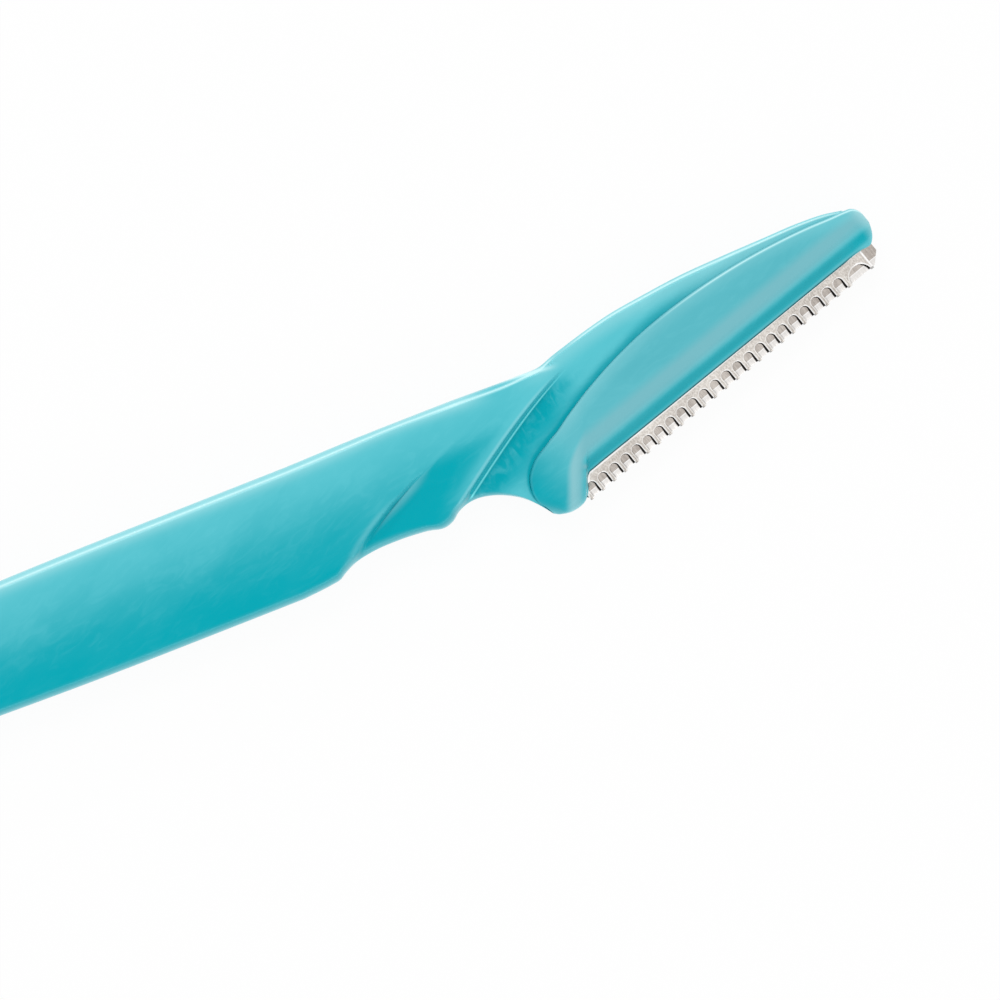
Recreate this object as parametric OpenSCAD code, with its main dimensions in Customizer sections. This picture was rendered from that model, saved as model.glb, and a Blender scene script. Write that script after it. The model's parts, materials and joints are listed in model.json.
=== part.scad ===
// Eyebrow razor with a moulded handle, a two-part head and a guarded blade
// It lies flat: X runs along the shank to the tip, Y to the spine, Z is up

/* [Overall] */
// Length from the tail's end to the tip of the head
overall_l = 150; // [130:1:170]
// Angle of the blade's edge to the shank
head_tilt = 18; // [14:1:22]
// Drop of the blade's heel below the shank's centre line
heel_drop = 7.12; // [6.8:0.02:7.5]

/* [Shank and grip] */
// Thickness of the shank over its two flat lands
shank_t = 4.4; // [4:0.1:5]
// Width of the flat land along each face
land_w = 5; // [3:0.5:5.5]
// Width of the grip where it is widest
grip_w = 11.76; // [11:0.1:13]
// Width of the tail near its end
tail_w = 8; // [6:0.5:10]
// Distance from the blade's heel back to the first finger ridge
grip_l = 23.6; // [20:0.2:28]
// Radius of the shank's long edges
shank_edge_r = 1.1; // [0.6:0.1:1.5]
// Half height of the shank's narrow side wall
shank_wall_h = 0.7; // [0.4:0.1:1]
// Fall of each face from its land to its long edges
crown_drop = 0.45; // [0.2:0.05:0.7]
// Depth of the scallop behind the first ridge
scallop_d = 0.65; // [0.2:0.05:0.8]
// Length over which that scallop rises again
scallop_l = 8; // [5:0.5:10]
// Length over which the raised shank sinks into the neck at its upper end
beak_l = 3.2; // [2:0.1:4]

/* [Neck and spine] */
// Thickness of the neck and the spine
spine_t = 2.6; // [2.4:0.1:3]
// Thickness of the spine at its tip
spine_tip_t = 1.9; // [1.8:0.1:2.2]
// Height of the spine over the blade's edge
spine_w = 12.3; // [11.8:0.1:13]
// Radius of the spine's long edge
spine_edge_r = 0.65; // [0.3:0.05:0.9]
// Half height of the spine's narrow side wall
spine_wall_h = 0.45; // [0.3:0.05:0.6]
// Extra depth of the neck along the second ridge
neck_dip = 0.22; // [0:0.02:0.3]
// Thickness of the web between the two head covers
web_t = 1.4; // [1.2:0.1:1.6]

/* [Head covers] */
// Length of the head from the blade's heel to the tip
head_l = 35.77; // [33:0.1:38]
// Height of the covers' seam over the blade's edge
seam_w = 8.75; // [8.4:0.05:9.2]
// Thickness over the two covers' crests at the heel
head_t = 4.3; // [4:0.05:4.4]
// Thickness over the two covers' crests at the tip
head_tip_t = 3.7; // [3.4:0.05:4]
// Step from the spine up to each cover along the seam
cover_step = 0.38; // [0.2:0.02:0.5]
// Half thickness of the covers' lip along the metal
lip_h = 0.62; // [0.5:0.02:0.8]
// Radius of the covers' lip along the metal
lip_r = 0.155; // [0.1:0.005:0.2]
// Width of the covers' chamfer above the metal
chamfer_w = 1.95; // [1.4:0.05:2]
// Width of the steep wall between the chamfer and the heel
heel_wall_w = 0.25; // [0.2:0.01:0.35]
// Fall of the covers' face towards the heel
heel_fall = 0.3; // [0.1:0.05:0.4]
// Height of the covers' crest over the blade's edge
crest_w = 3.9; // [3.6:0.05:4.2]
// Radius of the covers' rounded heel and tip
cover_end_r = 1.4; // [1:0.1:1.6]
// Radius of the handle's edge along the covers' seam
seam_edge_r = 0.08; // [0.05:0.01:0.12]
// Gap between the covers and the handle
seam_gap = 0.05; // [0.03:0.01:0.08]
// Gap between the two covers on the middle plane
parting_gap = 0.04; // [0.02:0.01:0.08]

/* [Blade and guard] */
// Depth of metal that shows below the covers
blade_show = 1.9; // [1.7:0.02:2.1]
// Depth of the blade from its edge to its back
blade_depth = 5; // [4.6:0.1:5.1]
// Thickness of the blade
blade_t = 0.25; // [0.2:0.01:0.3]
// Height of the ground bevel
bevel_h = 0.55; // [0.4:0.05:0.7]
// Thickness left at the blade's very edge
edge_t = 0.02; // [0.01:0.01:0.04]
// Blade hidden in the heel, behind the edge's start
blade_tuck = 0.6; // [0.4:0.05:0.7]
// Setback of the blade's end from the head's tip
blade_setback = 1.16; // [1:0.02:1.5]
// Size of the clipped corners at the blade's ends
corner_clip = 0.95; // [0.6:0.05:1]
// Thickness of the guard's sheet
guard_t = 0.12; // [0.08:0.01:0.15]
// Gap between the guard and the blade
guard_gap = 0.02; // [0.01:0.01:0.04]
// Depth of the guard's legs above the blade's edge
guard_depth = 4.5; // [4.2:0.05:4.5]
// Setback of the guard's end from the blade's end
guard_setback = 1.16; // [1:0.02:1.4]
// Guard hidden in the heel, behind the edge's start
guard_tuck = 0.4; // [0.2:0.05:0.4]
// Pitch of the guard's windows
window_pitch = 1.318; // [1.28:0.002:1.34]
// Width of each window
window_w = 0.95; // [0.8:0.01:1]
// Height of each window over the blade's edge
window_h = 1.27; // [1.1:0.01:1.4]
// Place of the first whole window's far side
window_start = 1.49; // [1.4:0.01:1.6]
// Whole windows in the row
window_count = 23; // [20:1:23]
// Radius of the wide window at the tip
end_window_r = 1.12; // [0.9:0.01:1.15]
// Setback of that window's centre from the guard's end
end_window_setback = 1.4; // [1.2:0.02:1.5]
// Drop of that window's centre below the edge
end_window_drop = 0.05; // [0:0.01:0.1]
// Gap between the guard and the slot in the covers
slot_gap = 0.03; // [0.02:0.01:0.05]

/* [Pins and bosses] */
// Diameter of the pins that hold the blade
pin_d = 1.2; // [1:0.05:1.3]
// Height of the pins' centres over the blade's edge
pin_y = 3.4; // [3.2:0.05:3.5]
// Depth of the pins' sockets in the back cover
socket_depth = 0.9; // [0.6:0.05:1]
// Diameter of the bosses that pass through the web
boss_d = 1.3; // [1:0.05:1.4]
// Height of the bosses' centres over the blade's edge
boss_y = 6.9; // [6.8:0.05:7]
// Depth of the bosses' sockets in the back cover
boss_depth = 0.5; // [0.3:0.05:0.6]
// Radial clearance of the pins and bosses in their holes
pin_gap = 0.05; // [0.03:0.01:0.08]
// Air left past the end of each pin and boss
pin_air = 0.1; // [0.05:0.05:0.15]
// Depth by which each pin and boss is rooted in its cover
pin_root = 0.3; // [0.2:0.05:0.35]

/* [Hidden] */

plastic_colour = [0.27, 0.75, 0.80];
cover_colour = [0.33, 0.76, 0.80];
blade_colour = [0.70, 0.67, 0.65];
guard_colour = [0.84, 0.83, 0.81];

// Grip outline: lower x and y, then upper x and y
// x counts from the blade's heel in grip lengths, y from the centre line in grip widths
grip_shares = [
    [-1.154, -0.509, -1.154, 0.491],
    [-1.035, -0.486, -1.056, 0.491],
    [-1.001, -0.474, -1.039, 0.491],
    [-0.972, -0.440, -1.018, 0.492],
    [-0.921, -0.393, -0.984, 0.493],
    [-0.853, -0.365, -0.938, 0.495],
    [-0.730, -0.355, -0.861, 0.498],
    [-0.620, -0.371, -0.802, 0.500],
    [-0.544, -0.394, -0.760, 0.501],
    [-0.514, -0.372, -0.739, 0.502],
    [-0.480, -0.320, -0.717, 0.502],
    [-0.438, -0.286, -0.692, 0.502],
    [-0.391, -0.278, -0.662, 0.503],
    [-0.336, -0.299, -0.628, 0.503],
    [-0.281, -0.344, -0.594, 0.503],
    [-0.230, -0.408, -0.565, 0.503],
    [-0.190, -0.486, -0.544, 0.503],
    [-0.156, -0.578, -0.527, 0.503]
];
// Seam round the covers, from the heel to the spine's tip: x in head lengths, y in seam heights
seam_shares = [
    [-0.090, 0.126],
    [-0.097, 0.212],
    [-0.102, 0.340],
    [-0.096, 0.463],
    [-0.081, 0.566],
    [-0.049, 0.660],
    [0.007, 0.725],
    [0.055, 0.768],
    [0.082, 0.802],
    [0.110, 0.833],
    [0.162, 0.883],
    [0.268, 0.959],
    [0.390, 0.999],
    [0.512, 0.990],
    [0.635, 0.942],
    [0.758, 0.857],
    [0.867, 0.751],
    [0.929, 0.675],
    [0.963, 0.637]
];
// Top of the spine at the same stations: x in head lengths, y in spine heights
spine_shares = [
    [-0.207, 1.310],
    [-0.167, 1.272],
    [-0.115, 1.220],
    [-0.056, 1.162],
    [0.002, 1.102],
    [0.065, 1.041],
    [0.119, 0.995],
    [0.157, 0.997],
    [0.182, 0.996],
    [0.209, 0.993],
    [0.260, 0.986],
    [0.339, 0.967],
    [0.436, 0.918],
    [0.537, 0.859],
    [0.646, 0.775],
    [0.760, 0.680],
    [0.864, 0.591],
    [0.925, 0.523],
    [0.960, 0.468]
];
// Lower side of the covers at the same stations: x in head lengths, y in shown metal depths
lower_shares = [
    [-0.080, 0.38],
    [-0.0615, 0.175],
    [-0.052, 0.10],
    [-0.040, 0.05],
    [-0.028, 0.03],
    [-0.010, 0.06],
    [0.010, 0.28],
    [0.039, 0.93],
    [0.047, 1.02],
    [0.062, 1.03],
    [0.130, 1.03],
    [0.260, 1.01],
    [0.390, 1.00],
    [0.512, 0.99],
    [0.635, 0.98],
    [0.758, 0.98],
    [0.867, 0.97],
    [0.937, 0.96],
    [0.966, 0.89]
];
// Rounded tip of the covers past the spine: upper x and y, then lower x and y, same units
tip_shares = [
    [0.981, 0.610, 0.979, 1.08],
    [0.992, 0.561, 0.991, 1.43],
    [0.998, 0.498, 0.998, 1.78]
];
// Foot, rise, lean and bend of each finger ridge, in grip lengths, grip widths and ridge heights
ridge_1_shares = [-0.959, -0.425, 0.546, 0.941, 0.697, 2];
ridge_2_shares = [-0.493, -0.332, 0.744, 1.40, 0.182, 4];
// Points across each rounded edge, in shares of its radius
edge_shares = [0, 0.12, 0.45];
// Start and end of the first ridge's fade, in shares of its height
ridge_fade_shares = [0.6, 1.0];
// Width of each ridge's steep side, in shank edge radii
ridge_side_share = 0.6;
// Raised shank at the neck: its end in grip lengths, fall of its top, height of its top in grip widths
beak_shares = [0.11, 0.12, 0.468];
// Length of the tail's taper as part of the shank behind the grip
taper_share = 0.85;
// Steepness of the heel's inner wall, as height over run
heel_wall_slope = 1.19;
// Length over which the heel's face falls, in head lengths
heel_fall_share = 0.1;
// Largest part of a section that one rounded edge may take
edge_limit_share = 0.4;
// Station of the grip where the neck begins
neck_station = 7;
// Stations of the head over which the spine's edge radius changes
spine_blend_stations = 4;
// Stations of the covers' lower side: foot of the heel's wall, start of the metal, start of the tip
heel_station = 6;
metal_station = 8;
tip_station = 16;
// First and last station of the web
web_first = 5;
web_last = 17;
// Deepest part of the spine that the web may run into
web_limit_share = 0.45;
// Run and rise of the head's tip from the heel, in head lengths and seam heights
tip_reach_shares = [0.996, 0.35];
// Places of the pins along the head, in head lengths
pin_shares = [0.14, 0.49, 0.84];
// Places of the bosses along the head, in head lengths
boss_shares = [0.25, 0.56];
// Overrun of cuts past a face
overrun = 1;
// Depth by which the web runs into the spine
web_root = 0.35;
// Gap between the blade's back and the web
web_gap = 0.25;

grip_steps = 4;
head_steps = 1;
cover_steps = 2;
tail_steps = 6;
end_steps = 5;
handle_mid_steps = 14;
cover_mid_steps = 9;
small_fn = 32;

guard_face = blade_t / 2 + guard_gap + guard_t;
slot_h = guard_face + slot_gap;
blade_end = head_l - blade_setback;
guard_end = blade_end - guard_setback;
web_low = blade_depth + web_gap;
pin_end = slot_h + socket_depth - pin_air;
boss_end = web_t / 2 + boss_depth;
head_reach = tip_reach_shares[0] * head_l * cos(head_tilt)
    - tip_reach_shares[1] * seam_w * sin(head_tilt);
head_x = overall_l / 2 - head_reach;
mid_z = shank_t / 2;

// Step from 0 to 1 with level ends
function ease(low, high, x) =
    let (f = max(0, min(1, (x - low) / (high - low))))
    f * f * (3 - 2 * f);

// Quarter-round rise from 0 at an edge to 1 at the radius
function rise(gap, radius) =
    let (f = max(0, min(1, gap / radius)))
    sqrt(1 - (1 - f) * (1 - f));

// Tangent of a smooth curve at row i of a table
function tangent(rows, i) =
    let (last = len(rows) - 1)
    let (back = i > 0 ? norm(rows[i] - rows[i - 1]) : 0)
    let (ahead = i < last ? norm(rows[i + 1] - rows[i]) : 0)
    i == 0 ? (rows[1] - rows[0]) / ahead
    : i == last ? (rows[last] - rows[last - 1]) / back
    : ((rows[i + 1] - rows[i]) / ahead * back + (rows[i] - rows[i - 1]) / back * ahead) / (back + ahead);

// Point of the smooth curve at fraction f past row i
function curve_point(rows, i, f) =
    let (span = norm(rows[i + 1] - rows[i]))
    rows[i] * (1 - 3 * f * f + 2 * f * f * f)
    + rows[i + 1] * (3 * f * f - 2 * f * f * f)
    + tangent(rows, i) * span * (f - 2 * f * f + f * f * f)
    + tangent(rows, i + 1) * span * (f * f * f - f * f);

// Rows along the smooth curve, the last one left out
function curve_rows(rows, steps) = [
    for (i = [0:len(rows) - 2])
    for (k = [0:steps - 1])
    curve_point(rows, i, k / steps)
];

// From the blade's frame to the razor's
function to_razor(p) = [
    head_x + p[0] * cos(head_tilt) - p[1] * sin(head_tilt),
    -heel_drop + p[0] * sin(head_tilt) + p[1] * cos(head_tilt)
];

// From the razor's frame to the blade's
function to_blade(p) =
    let (dx = p[0] - head_x)
    let (dy = p[1] + heel_drop)
    [dx * cos(head_tilt) + dy * sin(head_tilt), -dx * sin(head_tilt) + dy * cos(head_tilt)];

function seam_row(i) = [seam_shares[i][0] * head_l, seam_shares[i][1] * seam_w];
function spine_row(i) = [spine_shares[i][0] * head_l, spine_shares[i][1] * spine_w];
function lower_row(i) = [lower_shares[i][0] * head_l, lower_shares[i][1] * blade_show];
function pair(a, b) = [a[0], a[1], b[0], b[1]];
function low_of(row) = [row[0], row[1]];
function high_of(row) = [row[2], row[3]];

// Handle outline as pairs of a lower and an upper point, in the razor's frame
head_rows = [for (i = [0:len(seam_shares) - 1]) pair(to_razor(seam_row(i)), to_razor(spine_row(i)))];
grip_rows = concat(
    [for (s = grip_shares) [
        head_x + s[0] * grip_l, s[1] * grip_w,
        head_x + s[2] * grip_l, s[3] * grip_w
    ]],
    [head_rows[0]]
);
grip_start = grip_rows[0][0];
tail_end = -overall_l / 2;
tail_l = grip_start - tail_end;
end_r = tail_w / 2;

function tail_half(x) =
    let (f = ease(0, taper_share * tail_l, x - tail_end))
    end_r + (grip_w / 2 - end_r) * f;
function tail_row(x, half) =
    let (shift = (grip_rows[0][1] + grip_rows[0][3]) / 2 * ease(0, tail_l, x - tail_end))
    [x, shift - half, x, shift + half];
tail_rows = concat(
    [for (k = [1:end_steps])
        let (turn = 90 * k / end_steps)
        tail_row(tail_end + end_r * (1 - cos(turn)), tail_half(tail_end + end_r) * sin(turn))],
    [for (k = [1:tail_steps])
        let (x = tail_end + end_r + (tail_l - end_r) * k / (tail_steps + 1))
        tail_row(x, tail_half(x))]
);

// Place along X of a finger ridge at height y across the shank
function ridge_height(r) = r[2] * grip_w;
function ridge_up(r, y) = (y - r[1] * grip_w) / ridge_height(r);
function ridge_x(r, y) =
    let (up = max(0, ridge_up(r, y)))
    head_x + r[0] * grip_l + ridge_height(r) * (r[3] * up + r[4] * pow(up, r[5]));
function ridge_side() = ridge_side_share * shank_edge_r;

// Half thickness of the neck and spine at a point
function spine_half(p) =
    let (along = to_blade(p)[0] / head_l)
    let (past = p[0] - ridge_x(ridge_2_shares, p[1]))
    spine_t / 2 + (spine_tip_t - spine_t) / 2 * ease(0, 1, along)
    - neck_dip * (1 - ease(0, grip_w / 2, past));

// Half thickness of the raised shank at a point
function shank_half(p) =
    let (off = max(0, (abs(p[1]) - land_w / 2) / (grip_w / 2 - land_w / 2)))
    let (past = p[0] - ridge_x(ridge_1_shares, p[1]))
    let (fade = 1 - ease(ridge_fade_shares[0], ridge_fade_shares[1], ridge_up(ridge_1_shares, p[1])))
    shank_t / 2 - crown_drop * min(1, off * off)
    - scallop_d * fade * ease(0, ridge_side(), past) * (1 - ease(ridge_side(), scallop_l, past));

// Half thickness of the handle at a point, before its edges are rounded
function handle_half(p) =
    let (past = p[0] - ridge_x(ridge_2_shares, p[1]))
    let (to_end = head_x + beak_shares[0] * grip_l - p[0])
    let (top = beak_shares[2] * grip_w + to_end * beak_shares[1])
    let (left = 1 - ease(0, ridge_side(), past))
    let (raised = left * rise(top - p[1], spine_edge_r) * ease(0, beak_l, to_end))
    let (spine = spine_half(p))
    spine + (shank_half(p) - spine) * raised;

// Offsets across a section of a given length: fine at both edges, even between
function across(length, low_r, high_r, steps) = concat(
    [for (f = edge_shares) f * low_r],
    [for (k = [0:steps]) low_r + (length - low_r - high_r) * k / steps],
    [for (k = [len(edge_shares) - 1:-1:0]) length - edge_shares[k] * high_r]
);

// One section of the handle: offsets and half thicknesses between its two edges
function handle_ring(row, low_r, high_r, wall_h, end_gap) =
    let (low = low_of(row))
    let (high = high_of(row))
    let (length = norm(high - low))
    let (lr = min(low_r, length * edge_limit_share))
    let (hr = min(high_r, length * edge_limit_share))
    let (top = [
        for (d = across(length, lr, hr, handle_mid_steps))
        let (p = low + (high - low) * d / length)
        let (short_low = 1 - rise(d, lr))
        let (short_high = 1 - rise(length - d, hr))
        let (short_end = 1 - rise(end_gap, end_r))
        let (full = max(0, 1 - norm([short_low, short_high, short_end])))
        [p[0], p[1], wall_h + (handle_half(p) - wall_h) * full]
    ])
    concat(
        [for (q = top) [q[0], q[1], mid_z + q[2]]],
        [for (k = [len(top) - 1:-1:0]) [top[k][0], top[k][1], mid_z - top[k][2]]]
    );

// Faces of a solid that joins equal closed rings
function ring_faces(ring_count, ring_size) = concat(
    [[for (j = [ring_size - 1:-1:0]) j]],
    [for (i = [0:ring_count - 2])
        for (j = [0:ring_size - 1])
        let (a = i * ring_size + j)
        let (b = i * ring_size + (j + 1) % ring_size)
        for (face = [[a, b, a + ring_size], [b, b + ring_size, a + ring_size]])
        face],
    [[for (j = [0:ring_size - 1]) (ring_count - 1) * ring_size + j]]
);

module joined_rings(rings) {
    polyhedron(
        points = [for (ring = rings) each ring],
        faces = ring_faces(len(rings), len(rings[0])),
        convexity = 6
    );
}

function handle_rings() =
    let (grip_list = curve_rows(grip_rows, grip_steps))
    let (head_list = concat(curve_rows(head_rows, head_steps), [head_rows[len(head_rows) - 1]]))
    let (neck_x = head_x + grip_shares[neck_station][0] * grip_l)
    concat(
        [for (row = tail_rows)
            handle_ring(row, shank_edge_r, shank_edge_r, shank_wall_h, row[0] - tail_end)],
        [for (row = grip_list)
            let (f = ease(neck_x, head_rows[0][0], row[0]))
            let (low_r = shank_edge_r + (spine_edge_r - shank_edge_r) * f)
            let (wall_h = shank_wall_h + (spine_wall_h - shank_wall_h) * f)
            handle_ring(row, low_r, shank_edge_r, wall_h, end_r)],
        [for (k = [0:len(head_list) - 1])
            let (row = head_list[k])
            let (f = ease(0, spine_blend_stations * head_steps, k))
            let (high_r = shank_edge_r + (spine_edge_r - shank_edge_r) * f)
            handle_ring(row, seam_edge_r, high_r, spine_wall_h, end_r)]
    );

// Outline of the web, in the blade's frame: it runs into the spine and stops above the blade
module web_outline(grow) {
    upper = [
        for (i = [web_first:web_last])
        let (out = spine_row(i) - seam_row(i))
        seam_row(i) + out * min(web_root / norm(out), web_limit_share)
    ];
    low_left = [seam_row(web_first)[0] + web_root, web_low - grow];
    low_right = [seam_row(web_last)[0], web_low - grow];
    polygon(concat(upper, [low_right, low_left]));
}

// Places children at each station along the head
module along_head(shares, y) {
    for (share = shares) translate([share * head_l, y, 0]) children();
}

// Turns what is drawn in the blade's frame into the razor's frame
module on_head() {
    translate([head_x, -heel_drop, mid_z]) rotate([0, 0, head_tilt]) children();
}

module round_bar(d, low, high) {
    translate([0, 0, low]) cylinder(d = d, h = high - low, $fn = small_fn);
}

module handle() {
    color(plastic_colour)
    union() {
        joined_rings(handle_rings());
        on_head() difference() {
            translate([0, 0, -web_t / 2]) linear_extrude(height = web_t) web_outline(0);
            along_head(boss_shares, boss_y)
                round_bar(boss_d + 2 * pin_gap, -web_t / 2 - overrun, web_t / 2 + overrun);
        }
    }
}

// Cover outline as pairs of a seam point and a lower point, in the blade's frame
cover_rows = concat(
    [for (i = [0:len(seam_shares) - 1]) pair(seam_row(i), lower_row(i))],
    [for (t = tip_shares) [t[0] * head_l, t[1] * seam_w, t[2] * head_l, t[3] * blade_show]]
);

// Half thickness of a cover at a point between its lower edge and its seam
function cover_half(p, seam_y) =
    let (along = ease(0, head_l, p[0]))
    let (crest = (head_t + (head_tip_t - head_t) * along) / 2)
    let (seam_level = (spine_t + (spine_tip_t - spine_t) * along) / 2 + cover_step)
    let (up = max(0, (p[1] - crest_w) / max(seam_gap, seam_y - crest_w)))
    let (fall = heel_fall * ease(0, heel_fall_share * head_l, -p[0] - cover_end_r / 2))
    let (face = crest - (crest - seam_level) * min(1, up * up) - fall)
    let (wall_x = (p[1] - lower_row(heel_station)[1]) / heel_wall_slope + lower_row(heel_station)[0])
    let (cut = ease(0, heel_wall_w, p[0] - wall_x))
    let (cut_face = lip_h + (crest - lip_h) * ease(blade_show, blade_show + chamfer_w, p[1]))
    face + (min(face, cut_face) - face) * cut;

// One section of a cover, from its lower edge to its seam
function cover_ring(row, end_gap) =
    let (high = low_of(row))
    let (low = high_of(row))
    let (length = norm(high - low))
    let (seam_r = min(cover_step, length * edge_limit_share))
    let (metal = ease(lower_row(heel_station)[0], lower_row(metal_station)[0], low[0])
        * (1 - ease(lower_row(tip_station)[0], blade_end, low[0])))
    let (low_r = min(cover_end_r + (lip_r - cover_end_r) * metal, length * edge_limit_share))
    let (wall_h = lip_h - lip_r * metal)
    let (top = [
        for (d = across(length - 2 * seam_gap, low_r, seam_r, cover_mid_steps))
        let (gap = d + seam_gap)
        let (p = low + (high - low) * gap / length)
        let (full_h = cover_half(p, high[1]))
        let (short_low = 1 - rise(d, low_r))
        let (short_high = (1 - rise(length - 2 * seam_gap - d, seam_r)) * seam_r / (full_h - wall_h))
        let (short_end = 1 - rise(end_gap, cover_end_r))
        let (full = max(0, 1 - norm([short_low, short_high, short_end])))
        [p[0], p[1], wall_h + (full_h - wall_h) * full]
    ])
    concat(top, [for (k = [len(top) - 1, 0]) [top[k][0], top[k][1], parting_gap / 2]]);

function cover_rings() =
    let (rows = concat(curve_rows(cover_rows, cover_steps), [cover_rows[len(cover_rows) - 1]]))
    let (first = (low_of(rows[0]) + high_of(rows[0])) / 2)
    let (last_row = rows[len(rows) - 1])
    let (last = (low_of(last_row) + high_of(last_row)) / 2)
    [for (row = rows)
        let (centre = (low_of(row) + high_of(row)) / 2)
        cover_ring(row, min(norm(centre - first), norm(centre - last)) + seam_gap)];

// One cover with its blade slot and its half of the web's pocket, in the blade's frame
module cover_shell() {
    slot_l = blade_end + blade_tuck + 2 * slot_gap;
    slot_w = blade_depth + slot_gap + overrun;
    difference() {
        joined_rings(cover_rings());
        translate([-blade_tuck - slot_gap, -overrun, -overrun])
            cube([slot_l, slot_w, slot_h + overrun]);
        translate([0, 0, -overrun]) linear_extrude(height = web_t / 2 + slot_gap + overrun)
            web_outline(web_gap / 2);
    }
}

module front_head_cover() {
    color(cover_colour)
    on_head() {
        cover_shell();
        along_head(pin_shares, pin_y) round_bar(pin_d, -pin_end, slot_h + pin_root);
        along_head(boss_shares, boss_y) round_bar(boss_d, -boss_end, web_t / 2 + pin_root);
    }
}

module back_head_cover() {
    color(cover_colour)
    on_head() difference() {
        mirror([0, 0, 1]) cover_shell();
        along_head(pin_shares, pin_y) round_bar(pin_d + 2 * pin_gap, -slot_h - socket_depth, overrun);
        along_head(boss_shares, boss_y)
            round_bar(boss_d + 2 * pin_gap, -boss_end - pin_air, overrun);
    }
}

// Flat strip with a bevel ground on both sides of one long edge
module blade_strip() {
    section = [
        [0, edge_t / 2],
        [bevel_h, blade_t / 2],
        [blade_depth, blade_t / 2],
        [blade_depth, -blade_t / 2],
        [bevel_h, -blade_t / 2],
        [0, -edge_t / 2]
    ];
    translate([-blade_tuck, 0, 0]) rotate([90, 0, 90])
        linear_extrude(height = blade_end + blade_tuck) polygon(section);
}

module blade() {
    color(blade_colour)
    on_head() difference() {
        blade_strip();
        for (x = [-blade_tuck, blade_end])
            translate([x, 0, 0]) rotate([0, 0, 45])
            cube([corner_clip * sqrt(2), corner_clip * sqrt(2), overrun], center = true);
        along_head(pin_shares, pin_y) round_bar(pin_d + 2 * pin_gap, -overrun, overrun);
    }
}

// Round-topped window, open past the blade's edge
module window_shape() {
    radius = window_w / 2;
    translate([-radius, window_h - radius]) circle(r = radius, $fn = small_fn);
    translate([-window_w, -overrun]) square([window_w, window_h - radius + overrun]);
}

module guard_windows() {
    translate([0, 0, -overrun]) linear_extrude(height = 2 * overrun) {
        for (k = [-1:window_count - 1])
            translate([window_start + k * window_pitch, 0]) window_shape();
        translate([guard_end - end_window_setback, -end_window_drop])
            circle(r = end_window_r, $fn = 2 * small_fn);
    }
}

// Thin sheet folded round the blade's edge
module guard_sheet() {
    inner = blade_t / 2 + guard_gap;
    section = [
        [-guard_gap - guard_t, guard_face - guard_t],
        [-guard_gap, guard_face],
        [guard_depth, guard_face],
        [guard_depth, inner],
        [-guard_gap, inner],
        [-guard_gap, -inner],
        [guard_depth, -inner],
        [guard_depth, -guard_face],
        [-guard_gap, -guard_face],
        [-guard_gap - guard_t, guard_t - guard_face]
    ];
    translate([-guard_tuck, 0, 0]) rotate([90, 0, 90])
        linear_extrude(height = guard_end + guard_tuck) polygon(section);
}

module blade_guard() {
    color(guard_colour)
    on_head() difference() {
        guard_sheet();
        guard_windows();
        along_head(pin_shares, pin_y) round_bar(pin_d + 2 * pin_gap, -overrun, overrun);
    }
}

handle();
front_head_cover();
back_head_cover();
blade();
blade_guard();
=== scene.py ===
"""Finishes an eyebrow razor: moulded handle and head covers, steel blade and guard."""
import json
import math

import bmesh
import bpy
import numpy as np
from mathutils import Matrix, Vector

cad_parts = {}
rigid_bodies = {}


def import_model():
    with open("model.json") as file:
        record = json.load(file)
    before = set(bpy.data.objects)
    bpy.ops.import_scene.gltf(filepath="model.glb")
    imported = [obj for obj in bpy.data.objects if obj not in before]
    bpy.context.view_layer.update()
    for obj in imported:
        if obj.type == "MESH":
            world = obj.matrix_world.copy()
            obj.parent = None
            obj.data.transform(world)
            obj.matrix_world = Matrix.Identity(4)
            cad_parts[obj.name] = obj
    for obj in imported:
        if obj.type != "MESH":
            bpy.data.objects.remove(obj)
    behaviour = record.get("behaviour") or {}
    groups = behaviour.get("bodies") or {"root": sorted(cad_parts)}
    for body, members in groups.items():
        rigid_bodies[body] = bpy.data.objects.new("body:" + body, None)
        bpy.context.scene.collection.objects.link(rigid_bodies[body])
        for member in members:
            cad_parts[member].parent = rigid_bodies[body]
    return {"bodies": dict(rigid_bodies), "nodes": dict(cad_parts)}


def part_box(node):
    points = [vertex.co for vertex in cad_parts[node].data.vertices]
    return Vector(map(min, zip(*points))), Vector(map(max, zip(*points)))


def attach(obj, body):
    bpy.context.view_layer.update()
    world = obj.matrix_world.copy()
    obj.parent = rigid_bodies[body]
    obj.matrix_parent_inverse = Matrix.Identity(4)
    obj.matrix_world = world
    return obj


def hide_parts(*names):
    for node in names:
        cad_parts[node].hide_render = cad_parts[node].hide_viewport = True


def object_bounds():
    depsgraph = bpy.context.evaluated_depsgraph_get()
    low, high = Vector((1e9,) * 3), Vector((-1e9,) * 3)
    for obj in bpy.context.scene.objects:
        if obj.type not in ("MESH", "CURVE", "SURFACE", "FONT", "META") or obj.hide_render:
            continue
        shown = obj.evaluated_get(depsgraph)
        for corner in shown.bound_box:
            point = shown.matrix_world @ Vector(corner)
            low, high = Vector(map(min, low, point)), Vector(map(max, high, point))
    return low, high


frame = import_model()
CAD_LOW, CAD_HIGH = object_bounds()

bl_info = {
    "name": "Eyebrow Razor Finish",
    "version": (1, 0, 0),
    "blender": (4, 5, 0),
    "location": "View3D > Sidebar > Razor",
    "description": "Models and finishes a guarded eyebrow razor",
    "category": "Object",
}

# Metres in a millimetre, and millimetres in a metre along each axis
MM = 0.001
PER_MM = (1 / MM, 1 / MM, 1 / MM)
# Width of the photo's view, and the point at its centre, in millimetres
VIEW_WIDTH = 90.909
VIEW_CENTRE = (34.54, -4.13)
ROOT = next(iter(frame["bodies"]))
HANDLE_LOW, HANDLE_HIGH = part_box("handle")
COVER_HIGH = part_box("front_head_cover")[1]

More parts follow.
